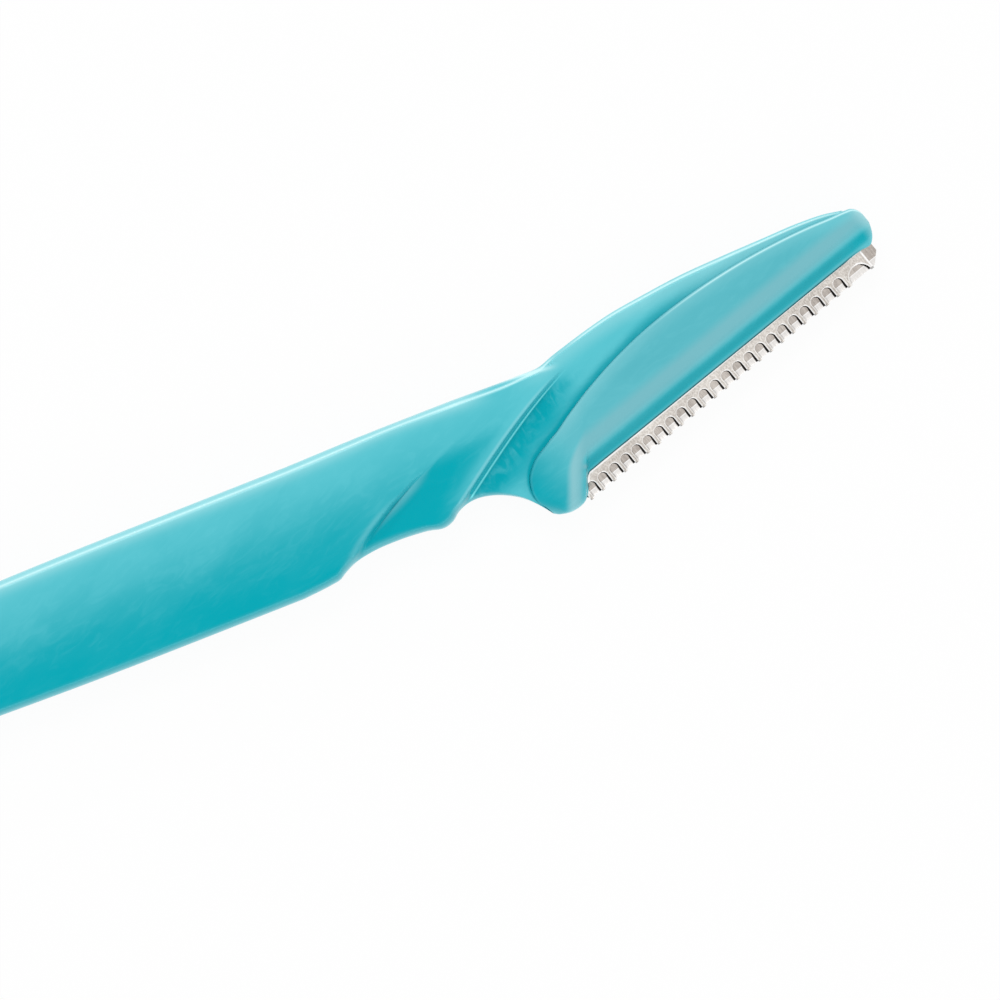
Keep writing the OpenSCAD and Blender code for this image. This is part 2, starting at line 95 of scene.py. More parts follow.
# Grip outline: lower x and y, then upper x and y
# x counts from the blade's heel in grip lengths, y from the centre line in grip widths
GRIP_SHARES = [
    [-1.154, -0.509, -1.154, 0.491],
    [-1.035, -0.486, -1.056, 0.491],
    [-1.001, -0.474, -1.039, 0.491],
    [-0.972, -0.440, -1.018, 0.492],
    [-0.921, -0.393, -0.984, 0.493],
    [-0.853, -0.365, -0.938, 0.495],
    [-0.730, -0.355, -0.861, 0.498],
    [-0.620, -0.371, -0.804, 0.500],
    [-0.544, -0.394, -0.764, 0.501],
    [-0.514, -0.372, -0.744, 0.502],
    [-0.480, -0.320, -0.723, 0.502],
    [-0.438, -0.286, -0.699, 0.502],
    [-0.391, -0.278, -0.670, 0.503],
    [-0.336, -0.299, -0.638, 0.503],
    [-0.281, -0.344, -0.606, 0.503],
    [-0.230, -0.408, -0.579, 0.503],
    [-0.190, -0.486, -0.557, 0.503],
    [-0.154, -0.575, -0.538, 0.503],
]
# Seam round the covers: x in head lengths, y in seam heights
SEAM_SHARES = [
    [-0.090, 0.126],
    [-0.094, 0.212],
    [-0.102, 0.340],
    [-0.096, 0.463],
    [-0.081, 0.566],
    [-0.049, 0.660],
    [0.007, 0.725],
    [0.055, 0.768],
    [0.082, 0.802],
    [0.110, 0.833],
    [0.162, 0.883],
    [0.268, 0.959],
    [0.390, 0.999],
    [0.512, 0.990],
    [0.635, 0.942],
    [0.758, 0.857],
    [0.867, 0.751],
    [0.929, 0.675],
    [0.963, 0.637],
]
# Top of the spine at the same stations: x in head lengths, y in spine heights
SPINE_SHARES = [
    [-0.221, 1.323],
    [-0.211, 1.313],
    [-0.176, 1.280],
    [-0.097, 1.203],
    [0.002, 1.102],
    [0.065, 1.041],
    [0.119, 0.995],
    [0.157, 0.997],
    [0.182, 0.996],
    [0.209, 0.993],
    [0.260, 0.986],
    [0.339, 0.967],
    [0.436, 0.918],
    [0.537, 0.859],
    [0.646, 0.775],
    [0.760, 0.680],
    [0.864, 0.591],
    [0.925, 0.523],
    [0.960, 0.468],
]
# Lower side of the covers at the same stations: x in head lengths, y in shown metal depths
LOWER_SHARES = [
    [-0.080, 0.38],
    [-0.0615, 0.175],
    [-0.052, 0.10],
    [-0.040, 0.05],
    [-0.028, 0.03],
    [-0.010, 0.06],
    [0.010, 0.28],
    [0.039, 0.93],
    [0.047, 1.02],
    [0.062, 1.03],
    [0.130, 1.03],
    [0.260, 1.01],
    [0.390, 1.00],
    [0.512, 0.99],
    [0.635, 0.98],
    [0.758, 0.98],
    [0.867, 0.97],
    [0.937, 0.96],
    [0.966, 0.89],
]
# Rounded tip of the covers past the spine: upper x and y, then lower x and y, same units
TIP_SHARES = [
    [0.981, 0.610, 0.979, 1.08],
    [0.992, 0.561, 0.991, 1.43],
    [0.998, 0.498, 0.998, 1.78],
]
# Finger ridges: foot along the grip in grip lengths, foot and height in grip widths, lean and bend
# in ridge heights, and the bend's power
RIDGE_1_SHARES = (-0.959, -0.425, 0.546, 0.941, 0.697, 2)
RIDGE_2_SHARES = (-0.508, -0.332, 0.744, 1.40, 0.182, 4)
# Raised shank at the neck: its end in grip lengths, fall of its top, height of its top in grip widths
BEAK_SHARES = (0.11, 0.12, 0.468)
# Width of the shade on the handle beside the covers' seam, in millimetres
SEAM_SHADE = 0.8
# Size that the painted highlight lines and glows inside each edge follow, in millimetres
EDGE_LINE = 0.4
# Sizes along the razor of the painted highlight on the thin lip, the painted shade line and the painted
# highlight on the pale crest by the finger ridges, in millimetres
LIP_HIGHLIGHT_W = 0.24
SHADE_LINE_W = 0.5
CREST_HIGHLIGHT_W = 0.45
# Heights of the crest and the swelling by the first ridge, and the swelling's width, in millimetres
CREST_H = 0.05
SWELL_H = 0.09
SWELL_W = 1.7
# Heights up the ridges of the first one's crest and swelling and the second one's crest
# Each gives start, full, last and end
CREST_1_SHARES = (-0.1, 0.2, 0.5, 0.75)
SWELL_1_SHARES = (0.25, 0.62, 0.7, 0.99)
CREST_2_SHARES = (0.10, 0.14, 0.82, 1.0)
# Height up the first ridge where it starts to fade, and where it is gone
RIDGE_1_END_SHARES = (0.6, 1.0)
# Bands of painted shade past the first ridge, paler colour past the second, and the painted highlight along
# the beak, in millimetres
# Each gives start, full, last and end
SCALLOP_SHADE_BAND = (0.3, 1.4, 3.5, 9.0)
NECK_BAND = (0.5, 2.5, 6.0, 9.0)
BEAK_BAND = (0.2, 1.5, 5.5, 7.5)
# Where the neck grows paler past the second ridge, and where its cloudy valley ends, in millimetres
NECK_RISE = (2.5, 8.0)
VALLEY_END = (2.0, 5.0)
# Heights of the painted shade band on the covers' chamfer, in shown metal depths
CHAMFER_SHADE_SHARES = (1.05, 1.25, 1.45, 1.75)
# How pale the plastic's colour is in each part, and how much each mark changes it: the shank's rise to its
# top, the crests, the swelling and the lip are painted highlights, the scallop, chamfer and seam painted
# shade
TONE_AND_PAINTED_LIGHT_SHARES = {
    "shank": 0.08,
    "shank rise": 0.82,
    "scallop": 0.5,
    "spine": 0.1,
    "neck rise": 0.4,
    "tip rise": 0.45,
    "neck": 0.8,
    "beak": 0.4,
    "spine middle": 0.6,
    "crest_1": 0.3,
    "swell_1": 0.55,
    "crest_2": 0.25,
    "leaf": 0.55,
    "heel": 0.45,
    "leaf crest": 0.1,
    "chamfer": 0.5,
    "lip": 0.1,
    "seam": 0.3,
    "seam at the heel": 0.35,
}
# Strength of the painted shade by the covers' seam and above the metal
PAINTED_SHADE_SHARES = {
    "seam": 0.04,
    "seam line": 0.2,
    "above the metal": 0.1,
}
# Strength of the painted highlight lines and glows
PAINTED_HIGHLIGHT_SHARES = {
    "gap by the neck": 0.8,
    "shank": 0.38,
    "spine": 0.2,
    "spine middle": 0.1,
    "seam": 0.05,
    "seam at the tip": 0.8,
    "leaf": 0.12,
    "tip": 0.3,
    "heel": 0.15,
}
# Strength of the painted pale reflections and highlights
PAINTED_REFLECTION_SHARES = {
    "swell_1": 0.35,
    "crest_1": 0.25,
    "low rim": 0.75,
    "leaf": 0.28,
    "leaf crest": 0.75,
    "heel crest": 0.15,
    "ends": 0.6,
    "chamfer": 0.12,
    "lip": 0.3,
}
# Strength of each effect in the plastic's colour: random drift and cloud, the painted reflection, the
# painted edge and crest highlights, painted shade lines and shade, and the lip's painted highlight
PLASTIC_SHARES = {
    "drift": 0.22,
    "cloud": 0.5,
    "painted_reflection": 0.85,
    "edge": 0.6,
    "crest": 0.6,
    "line": 0.1,
    "painted_shade": 0.95,
    "lip": 0.95,
}
# Strength of the painted highlights and painted shade on the metal; the bevel's brightness is partly its
# ground finish
STEEL_PAINTED_LIGHT_SHARES = {
    "left rim": 0.45,
    "line": 0.3,
    "foot": 0.6,
    "bevel": 0.6,
    "window shade": 0.99,
    "under the guard": 0.9,
}
# Heights up the ridges of the painted lines in the material: the first ridge's painted shade line, the
# second's painted shade line and lip highlight, and the second's painted crest highlight; each gives start,
# full, last and end
LINE_1_SHARES = (0.1, 0.3, 0.45, 0.7)
LINE_2_SHARES = (0.08, 0.12, 0.8, 1.0)
CREST_HIGHLIGHT_SHARES = (0.0, 0.12, 0.8, 1.0)
# Waves per millimetre of each pattern along the blade, across it and through it
CLOUD_WAVES = (0.10, 0.24, 0.2)
FLOW_WAVES = (0.35, 1.1, 0.5)
FINGER_WAVES = (1.1, 0.5, 0.5)
SPECK_WAVES = 9.0
GRAIN_WAVES = (7.0, 5.0, 5.0)
MARK_WAVES = (9.0, 0.5, 1.0)
PATCH_WAVES = (0.22, 0.4, 0.4)
# Depth of the plastic's and the steel's fine texture, in millimetres
PLASTIC_TEXTURE = 0.02
STEEL_TEXTURE = 0.01
# Lights: name, azimuth and elevation in degrees, distance, width and height in millimetres, and
# brightness over white
LIGHTS = (
    ("Broad top box", 88, 50, 720, 420, 260, 3.2),
    ("Edge strip", 86, 20, 720, 420, 34, 13.0),
    ("Low fill", -85, 24, 720, 700, 240, 2.6),
)
# Camera's lens and sensor in millimetres, and the direction along the photo's width
LENS = 135
SENSOR_WIDTH = 36
VIEW_ALONG = (0.9304, -0.3665, 0)
# Nearest and furthest that the camera sees, in metres
VIEW_REACH = (0.01, 10)
# Share of plain white in the floor seen by the camera, and brightness of the background's own light
FLOOR_WHITE = 0.94
BACKGROUND_LIGHT = 0.72
# Narrow and wide painted highlights on the rims of the guard's windows, on their left and right, in
# millimetres
RIM_HIGHLIGHT_WIDTHS = (0.06, 0.16)
# Distance before the guard's end where its painted highlight rim starts, and where it is full, in
# millimetres
END_RIM_HIGHLIGHT = (0.16, 0.08)
# Distance past the heel's inner wall where the painted highlight strip starts to fade and is gone, in
# millimetres
WALL_HIGHLIGHT = (0.14, 0.24)
# Place and half width of the thin painted shade line left of each window, in millimetres
WINDOW_SHADE_LINE = 0.12
WINDOW_SHADE_LINE_W = 0.05
# Height of the painted shade at the foot right of each window, in millimetres
FOOT_SHADE_H = 0.05
# Fade of the bevel's brightness, partly its ground finish and partly a painted highlight, and the painted
# highlight line along its top, in millimetres from its top
BEVEL_EDGE = (-0.03, 0.01)
BEVEL_LINE = (-0.10, -0.02, 0.0, 0.04)
# Widths of the shade inside each window, low and high, in millimetres
WINDOW_SHADES = (0.17, 0.05)
# Steepness of the heel's inner wall, as height over run
HEEL_WALL_SLOPE = 1.19
# Width of the thin lip beside that wall, in millimetres
HEEL_LIP_W = 0.3
# Ends of the blade's slot, in head lengths before the heel and past it
BLADE_TUCK_SHARE = 0.0176
BLADE_END_SHARE = 0.9676
# Point of the covers that lies furthest along the razor, in head lengths and seam heights
REACH_SHARES = (0.996, 0.35)
# Length of the tail's taper, as a share of the way to the grip
TAPER_SHARE = 0.85
# First angle round the tail's end, in degrees, and the number of sections there
TAIL_ANGLE = 3
TAIL_STEPS = 16
# Most of a section that the rounding of one edge takes
ROUNDED_SHARE = 0.4
# Length of the covers' fall towards the heel, in head lengths, and of their cut face, in chamfer widths
HEEL_FALL_SHARE = 0.1
CUT_FACE_SHARE = 1.7
# Widest gaps between the handle's sections, in millimetres, and the number of spans in the neck
TAIL_GAP = 3.0
GRIP_GAP = 0.14
NECK_GAP = 0.16
HEAD_GAP = 0.45
NECK_SPANS = 7
# Steps round each long edge of the handle, and between them
EDGE_STEPS = 8
MID_STEPS = 96
# How much closer the handle's columns lie by the finger ridges
CROWDING = 3
# Widest gap between a cover's sections, in millimetres, and steps round each edge and between them
COVER_GAP = 0.16
COVER_EDGE_STEPS = 9
COVER_MID_STEPS = 50
# Place of the small moulding burr on the heel's inner wall, in millimetres from the blade's heel
BURR_PLACE = (1.68, 2.58)
# Whole windows in the guard
WINDOW_COUNT = 23
# Masks on the plastic's points that its material reads, from 0 to 1; tone also holds painted shade and
# painted highlights, and edge a painted highlight on the rounded edges
MASKS = ("tone", "edge", "mottle", "painted_shade", "painted_highlight", "painted_reflection")


def size(name, description, default):
    """Property that holds a size in millimetres."""
    return bpy.props.FloatProperty(name=name, description=description, default=default)


def colour(name, description, default):
    """Property that holds a colour."""
    return bpy.props.FloatVectorProperty(
        name=name, description=description, default=default, subtype="COLOR")


class RazorShape(bpy.types.PropertyGroup):
    """Sizes of the razor's moulded pieces, in millimetres unless they say otherwise"""
    head_tilt: bpy.props.FloatProperty(
        name="Head tilt", description="Angle of the blade's edge to the shank",
        default=math.radians(18), subtype="ANGLE")
    heel_drop: size("Heel drop", "Drop of the blade's heel below the centre line", 7.12)
    ridge_wall: size("Ridge wall", "Width of each finger ridge's steep side", 0.75)
    beak_l: size("Beak", "Length over which the shank sinks into the neck", 3.2)
    grip_w: size("Grip width", "Width of the grip where it is widest", 11.76)
    grip_l: size("Grip length", "From the blade's heel back to the first ridge", 23.6)
    tail_w: size("Tail width", "Width of the tail near its end", 8.0)
    edge_r: size("Shank edge radius", "Radius of the shank's long edges", 0.85)
    wall_h: size("Shank side", "Half height of the shank's side wall", 0.7)
    crown_drop: size("Crown", "Fall of each face from its land to its edges", 0.45)
    scallop_d: size("Scallop depth", "Depth behind the first ridge", 0.65)
    scallop_l: size("Scallop length", "Length over which the scallop rises", 8.0)
    spine_t: size("Spine thickness", "Thickness of the neck and spine", 2.6)
    spine_tip_t: size("Spine tip thickness", "Thickness of the spine's tip", 1.9)
    spine_w: size("Spine height", "Height of the spine over the blade's edge", 12.3)
    spine_edge_r: size("Spine edge radius", "Radius of the spine's long edge", 0.65)
    spine_wall_h: size("Spine side", "Half height of the spine's side wall", 0.45)
    neck_dip: size("Neck dip", "Extra depth of the neck by the second ridge", 0.15)
    head_l: size("Head length", "From the blade's heel to the tip", 35.77)
    seam_w: size("Seam height", "Height of the covers' seam over the edge", 8.75)
    head_t: size("Head thickness", "Over the covers' crests at the heel", 4.3)
    head_tip_t: size("Tip thickness", "Over the covers' crests at the tip", 3.7)
    cover_step: size("Cover step", "Step from the spine up to each cover", 0.38)
    lip_h: size("Lip", "Half thickness of the covers' lip along the metal", 0.62)
    chamfer_w: size("Chamfer", "Width of the covers' chamfer above the metal", 1.15)
    crest_w: size("Crest height", "Height of the covers' crest over the edge", 3.9)
    heel_fall: size("Heel fall", "Fall of the covers' face towards the heel", 0.3)
    cover_end_r: size("Cover end radius", "Radius of the covers' heel and tip", 1.4)
    seam_gap: size("Seam gap", "Gap between the covers and the handle", 0.003)
    parting_gap: size("Parting gap", "Gap between the two covers", 0.04)
    blade_show: size("Metal shown", "Depth of metal below the covers", 1.87)
    blade_depth: size("Blade depth", "From the blade's edge to its back", 5.0)
    bevel_h: size("Bevel", "Height of the ground bevel", 0.55)
    window_pitch: size("Window pitch", "Pitch of the guard's windows", 1.318)
    window_w: size("Window width", "Width of each window", 0.95)
    window_h: size("Window height", "Height of each window over the edge", 1.27)
    window_start: size("Window start", "Far side of the first whole window", 1.49)
    end_window_r: size("End window radius", "Radius of the wide window at the tip", 1.12)
    end_window_x: size("End window place", "Place of the wide window from the heel", 32.05)
    guard_end: size("Guard end", "End of the guard from the heel", 33.45)
    slot_h: size("Slot", "Half height of the slot for the metal", 0.295)


def shape():
    """The razor's sizes."""
    return bpy.context.scene.razor_shape


def head_x():
    """Place of the blade's heel along the razor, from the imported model's tip."""
    s = shape()
    along, up = REACH_SHARES[0] * s.head_l, REACH_SHARES[1] * s.seam_w
    reach = along * math.cos(s.head_tilt) - up * math.sin(s.head_tilt)
    return COVER_HIGH[0] / MM - reach


def mid_z():
    """Height of the middle plane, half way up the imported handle."""
    return (HANDLE_LOW[2] + HANDLE_HIGH[2]) / 2 / MM


def full_half():
    """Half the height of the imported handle."""
    return (HANDLE_HIGH[2] - HANDLE_LOW[2]) / 2 / MM


def ease(low, high, x):
    """Step from 0 to 1 with level ends."""
    f = np.clip((x - low) / (high - low), 0, 1)
    return f * f * (3 - 2 * f)


def fall(low, high, x):
    """Step from 1 to 0 with level ends."""
    return 1 - ease(low, high, x)


def between(a, b, share):
    """Value that lies a share of the way from a to b."""
    return a + (b - a) * share


def rise(gap, radius):
    """Quarter-round rise from 0 at an edge to 1 at the radius."""
    f = np.clip(gap / radius, 0, 1)
    return np.sqrt(np.maximum(0, 1 - (1 - f) ** 2))


def bump(x, width):
    """Smooth bell of height 1 about 0."""
    return np.exp(-(x / width) ** 2)


def spans_of(points):
    """Length of each span of a smooth curve through points, and its direction at each point."""
    span = np.linalg.norm(np.diff(points, axis=0), axis=1)[:, None]
    slope = np.diff(points, axis=0) / span
    inner = (slope[1:] * span[:-1] + slope[:-1] * span[1:]) / (span[:-1] + span[1:])
    return span, np.vstack([slope[:1], inner, slope[-1:]])


def curve_rows(rows, gap):
    """Pairs of points along two smooth curves through a table, no further apart than gap."""
    rows = np.asarray(rows, float)
    (first, first_way), (second, second_way) = spans_of(rows[:, :2]), spans_of(rows[:, 2:])
    span = np.hstack([first, first, second, second])
    way = np.hstack([first_way, second_way])
    gaps = np.broadcast_to(gap, len(span))
    made = []
    for i, mean_span in enumerate(np.hypot(first, second)[:, 0] / math.sqrt(2)):
        steps = max(1, math.ceil(mean_span / gaps[i]))
        f = (np.arange(steps) / steps)[:, None]
        made.append(
            rows[i] * (1 - 3 * f ** 2 + 2 * f ** 3)
            + rows[i + 1] * (3 * f ** 2 - 2 * f ** 3)
            + way[i] * span[i] * (f - 2 * f ** 2 + f ** 3)
            + way[i + 1] * span[i] * (f ** 3 - f ** 2)
        )
    made.append(rows[-1:])
    return np.vstack(made)


def to_razor(p):
    """From the blade's frame to the razor's."""
    s = shape()
    c, n = math.cos(s.head_tilt), math.sin(s.head_tilt)
    return np.stack([head_x() + p[..., 0] * c - p[..., 1] * n,
                     -s.heel_drop + p[..., 0] * n + p[..., 1] * c], axis=-1)


def to_blade(p):
    """From the razor's frame to the blade's."""
    s = shape()
    c, n = math.cos(s.head_tilt), math.sin(s.head_tilt)
    dx, dy = p[..., 0] - head_x(), p[..., 1] + s.heel_drop
    return np.stack([dx * c + dy * n, -dx * n + dy * c], axis=-1)


def seam_rows():
    return np.array(SEAM_SHARES) * [shape().head_l, shape().seam_w]


def spine_rows():
    return np.array(SPINE_SHARES) * [shape().head_l, shape().spine_w]


def lower_rows():
    return np.array(LOWER_SHARES) * [shape().head_l, shape().blade_show]


def head_rows():
    """Pairs of a seam point and a spine point, in the razor's frame."""
    return np.hstack([to_razor(seam_rows()), to_razor(spine_rows())])


def grip_rows():
    """Pairs of a lower and an upper point along the grip, ending at the heel."""
    s = shape()
    rows = np.array(GRIP_SHARES) * [s.grip_l, s.grip_w, s.grip_l, s.grip_w]
    rows += [head_x(), 0, head_x(), 0]
    return np.vstack([rows, head_rows()[:1]])


def tail_rows(gap):
    """Pairs of points round the tail's end and along its taper, up to the grip."""
    s = shape()
    start = CAD_LOW[0] / MM
    grip = grip_rows()[0]
    length = grip[0] - start
    end_r = s.tail_w / 2
    turn = np.radians(np.linspace(TAIL_ANGLE, 90, TAIL_STEPS))
    xs = np.concatenate([end_r * (1 - np.cos(turn)), np.arange(end_r + gap, length - gap / 2, gap)])
    full = between(end_r, s.grip_w / 2, ease(0, TAPER_SHARE * length, xs))
    half = full * rise(xs, end_r)
    shift = (grip[1] + grip[3]) / 2 * ease(0, length, xs)
    return np.stack([start + xs, shift - half, start + xs, shift + half], axis=-1)


def ridge_up(r, y):
    """Height up a finger ridge, 0 at its foot and 1 at its top."""
    return (y - r[1] * shape().grip_w) / (r[2] * shape().grip_w)


def ridge_past(r, p):
    """Distance along X past a finger ridge."""
    up = np.maximum(0, ridge_up(r, p[..., 1]))
    line = r[0] * shape().grip_l + r[2] * shape().grip_w * (r[3] * up + r[4] * up ** r[5])
    return p[..., 0] - head_x() - line


def spine_half(p):
    """Half thickness of the neck and spine."""
    s = shape()
    along = to_blade(p)[..., 0] / s.head_l
    past = ridge_past(RIDGE_2_SHARES, p)
    level = between(s.spine_t, s.spine_tip_t, ease(0, 1, along)) / 2
    return level - s.neck_dip * fall(0, s.grip_w / 2, past)


def ridge_1_fade(p):
    """1 along the first finger ridge, falling to 0 past its upper end."""
    return fall(*RIDGE_1_END_SHARES, ridge_up(RIDGE_1_SHARES, p[..., 1]))


def shank_half(p):
    """Half thickness of the raised shank and grip."""
    s = shape()
    off = np.abs(p[..., 1]) / (s.grip_w / 2)
    past = ridge_past(RIDGE_1_SHARES, p)
    scallop = ease(0, s.ridge_wall, past) * fall(s.ridge_wall, s.scallop_l, past)
    return full_half() - s.crown_drop * np.minimum(1, off ** 2) - s.scallop_d * ridge_1_fade(p) * scallop


def in_beak(p):
    """Distance to the end of the raised shank, and depth below its top there."""
    s = shape()
    to_end = head_x() + BEAK_SHARES[0] * s.grip_l - p[..., 0]
    top = BEAK_SHARES[2] * s.grip_w + to_end * BEAK_SHARES[1]
    return to_end, top - p[..., 1]


def raised_share(p):
    """1 on the raised shank, 0 on the neck and spine."""
    s = shape()
    to_end, below = in_beak(p)
    left = fall(0, s.ridge_wall, ridge_past(RIDGE_2_SHARES, p))
    return left * rise(below, s.spine_edge_r) * ease(0, s.beak_l, to_end)


def handle_half(p):
    """Half thickness of the handle before its edges are rounded."""
    spine = spine_half(p)
    return between(spine, shank_half(p), raised_share(p))


def across(length, low_r, high_r, edge_steps, mid_steps):
    """Offsets across every section: fine at both edges, even between."""
    turn = np.radians(np.linspace(0, 90, edge_steps, endpoint=False))
    fine = 1 - np.cos(turn)
    mid = np.linspace(0, 1, mid_steps + 1)
    low_part = fine * low_r[:, None]
    mid_part = low_r[:, None] + (length - low_r - high_r)[:, None] * mid
    high_part = length[:, None] - fine[::-1] * high_r[:, None]
    return np.hstack([low_part, mid_part, high_part])


def crowded(offset, weight):
    """Offsets across every section, drawn towards the places of greater weight."""
    steps = (weight[:, 1:] + weight[:, :-1]) / 2 * np.diff(offset, axis=1)
    path = np.hstack([np.zeros((len(steps), 1)), np.cumsum(steps, axis=1)])
    even = path[:, -1:] * np.linspace(0, 1, offset.shape[1])
    return np.array([np.interp(*row) for row in zip(even, path, offset)])


def new_piece(name, bm):
    """Object made from a finished mesh, in the razor's frame."""
    mesh = bpy.data.meshes.new(name)
    bm.to_mesh(mesh)
    bm.free()
    piece = bpy.data.objects.new(name, mesh)
    bpy.context.collection.objects.link(piece)
    for face in mesh.polygons:
        face.use_smooth = True
    return piece


def moulding(name, top, under, masks):
    """Closed mesh between two grids of points that share their rims, with masks for the materials."""
    bm = bmesh.new()
    rows, columns = top.shape[0], top.shape[1]
    bmesh.ops.create_grid(bm, x_segments=rows - 1, y_segments=columns - 1, size=1)
    bmesh.ops.duplicate(bm, geom=bm.verts[:] + bm.edges[:] + bm.faces[:])
    layers = {key: bm.verts.layers.float.new(key) for key in masks}
    bm.verts.ensure_lookup_table()
    count = rows * columns
    for points, verts in ((top, bm.verts[:count]), (under, bm.verts[count:])):
        for v in verts:
            i = round((v.co.x + 1) / 2 * (rows - 1))
            j = round((v.co.y + 1) / 2 * (columns - 1))
            v.co = points[i, j] * MM
            for key, layer in layers.items():
                v[layer] = masks[key][i, j]
    rim = [e for e in bm.edges if e.is_boundary]
    bmesh.ops.bridge_loops(bm, edges=rim)
    bmesh.ops.recalc_face_normals(bm, faces=bm.faces[:])
    return new_piece(name, bm)


def blended(full, *shortfalls):
    """Share of the full height left where several rounded edges meet."""
    return np.maximum(0, full - np.sqrt(sum(short ** 2 for short in shortfalls)))


def band(x, start, full, last, end):
    """1 between full and last, easing to 0 at start and end."""
    return ease(start, full, x) * fall(last, end, x)


def ridge_marks(p):
    """Strength of the crests and the swelling by the finger ridges, from 0 to 1."""
    s = shape()
    wall = s.ridge_wall
    past_1, past_2 = ridge_past(RIDGE_1_SHARES, p), ridge_past(RIDGE_2_SHARES, p)
    up_1 = ridge_up(RIDGE_1_SHARES, p[..., 1])
    up_2 = ridge_up(RIDGE_2_SHARES, p[..., 1])
    near_1 = band(up_1, *SWELL_1_SHARES)
    near_2 = band(up_2, *CREST_2_SHARES)
    return {
        "crest_1": band(up_1, *CREST_1_SHARES) * bump(past_1 + wall / 3, wall * 0.6),
        "swell_1": near_1 * band(past_1, wall * 0.9, wall * 1.3, wall * 1.4, wall * 1.5 + SWELL_W * near_1),
        "crest_2": near_2 * band(past_2, -wall * 3, -wall / 2, -wall / 4, wall / 5),
    }


def ridge_detail(p):
    """Soft crest and swelling along the first finger ridge."""
    marks = ridge_marks(p)
    return CREST_H * marks["crest_1"] + SWELL_H * marks["swell_1"]


def handle_tone_and_painted_light(p):
    """Depth of the handle's colour: 0 in the deep parts, 1 in the pale ones; the shank is painted paler
    towards its top as painted light, with painted shade behind the first ridge and painted highlights on the
    ridges' crests and swelling.
    """
    s, given = shape(), TONE_AND_PAINTED_LIGHT_SHARES
    past_1, past_2 = ridge_past(RIDGE_1_SHARES, p), ridge_past(RIDGE_2_SHARES, p)
    up_1, up_2 = ridge_up(RIDGE_1_SHARES, p[..., 1]), ridge_up(RIDGE_2_SHARES, p[..., 1])
    along = to_blade(p)[..., 0] / s.head_l
    # Painted light: the shank is paler towards its top
    shank = given["shank"] + given["shank rise"] * ease(-0.45 * s.grip_w, 0.5 * s.grip_w, p[..., 1])
    # Painted shade in the scallop behind the first ridge
    shank = shank - given["scallop"] * band(past_1, *SCALLOP_SHADE_BAND) * fall(0.8, 1.25, up_1)
    spine = given["spine"] + given["neck rise"] * ease(*NECK_RISE, past_2)
    spine = spine + given["tip rise"] * ease(0.1, 0.9, along)
    spine = spine + given["neck"] * band(past_2, *NECK_BAND) * fall(-0.3, 0.2, up_2)
    spine = spine + given["beak"] * ease(0.8, 1.1, up_2) * fall(0.1, 0.4, along)
    tone = between(spine, shank, raised_share(p))
    # Painted highlights on the ridges' crests and swelling
    light = sum(given[key] * mark for key, mark in ridge_marks(p).items())
    return np.clip(tone + light, 0, 1)


def handle_painted_highlight(p, from_high):
    """Painted highlight line inside the upper edge and along the beak, with a painted pale glow below it."""
    given = PAINTED_HIGHLIGHT_SHARES
    along = to_blade(p)[..., 0] / shape().head_l
    spine = ease(0.0, 0.15, along)
    place = EDGE_LINE * (1.35 - 0.7 * spine)
    width = EDGE_LINE * (0.28 - 0.06 * spine)
    to_end, below = in_beak(p)
    on_beak = band(to_end, *BEAK_BAND)
    unbroken = 1 - given["gap by the neck"] * band(along, 0.13, 0.17, 0.18, 0.28)
    line = bump(from_high - place, width) * unbroken
    beak_highlight = bump(below - EDGE_LINE * 0.75, EDGE_LINE / 2) * on_beak * raised_share(p)
    shank_highlight_glow = given["shank"] * bump(from_high - EDGE_LINE, EDGE_LINE * 2) * fall(-0.1, 0.0, along)
    strength = given["spine"] + given["spine middle"] * band(along, 0.15, 0.4, 0.6, 0.95)
    spine_highlight_glow = strength * fall(EDGE_LINE / 2, EDGE_LINE * 6, from_high)
    return np.clip(line + beak_highlight + shank_highlight_glow + spine_highlight_glow * spine, 0, 1)


def handle_painted_reflection(p, from_low, on_head):
    """Painted reflection on the rim along the lower outline, and painted highlights on the crest and
    swelling by the first ridge.
    """
    marks = ridge_marks(p)
    low_rim_reflection = fall(0, EDGE_LINE * 2, from_low) * (1 - on_head)
    by_ridge = sum(PAINTED_REFLECTION_SHARES[key] * marks[key] for key in ("swell_1", "crest_1"))
    return np.clip(by_ridge + PAINTED_REFLECTION_SHARES["low rim"] * low_rim_reflection, 0, 1)


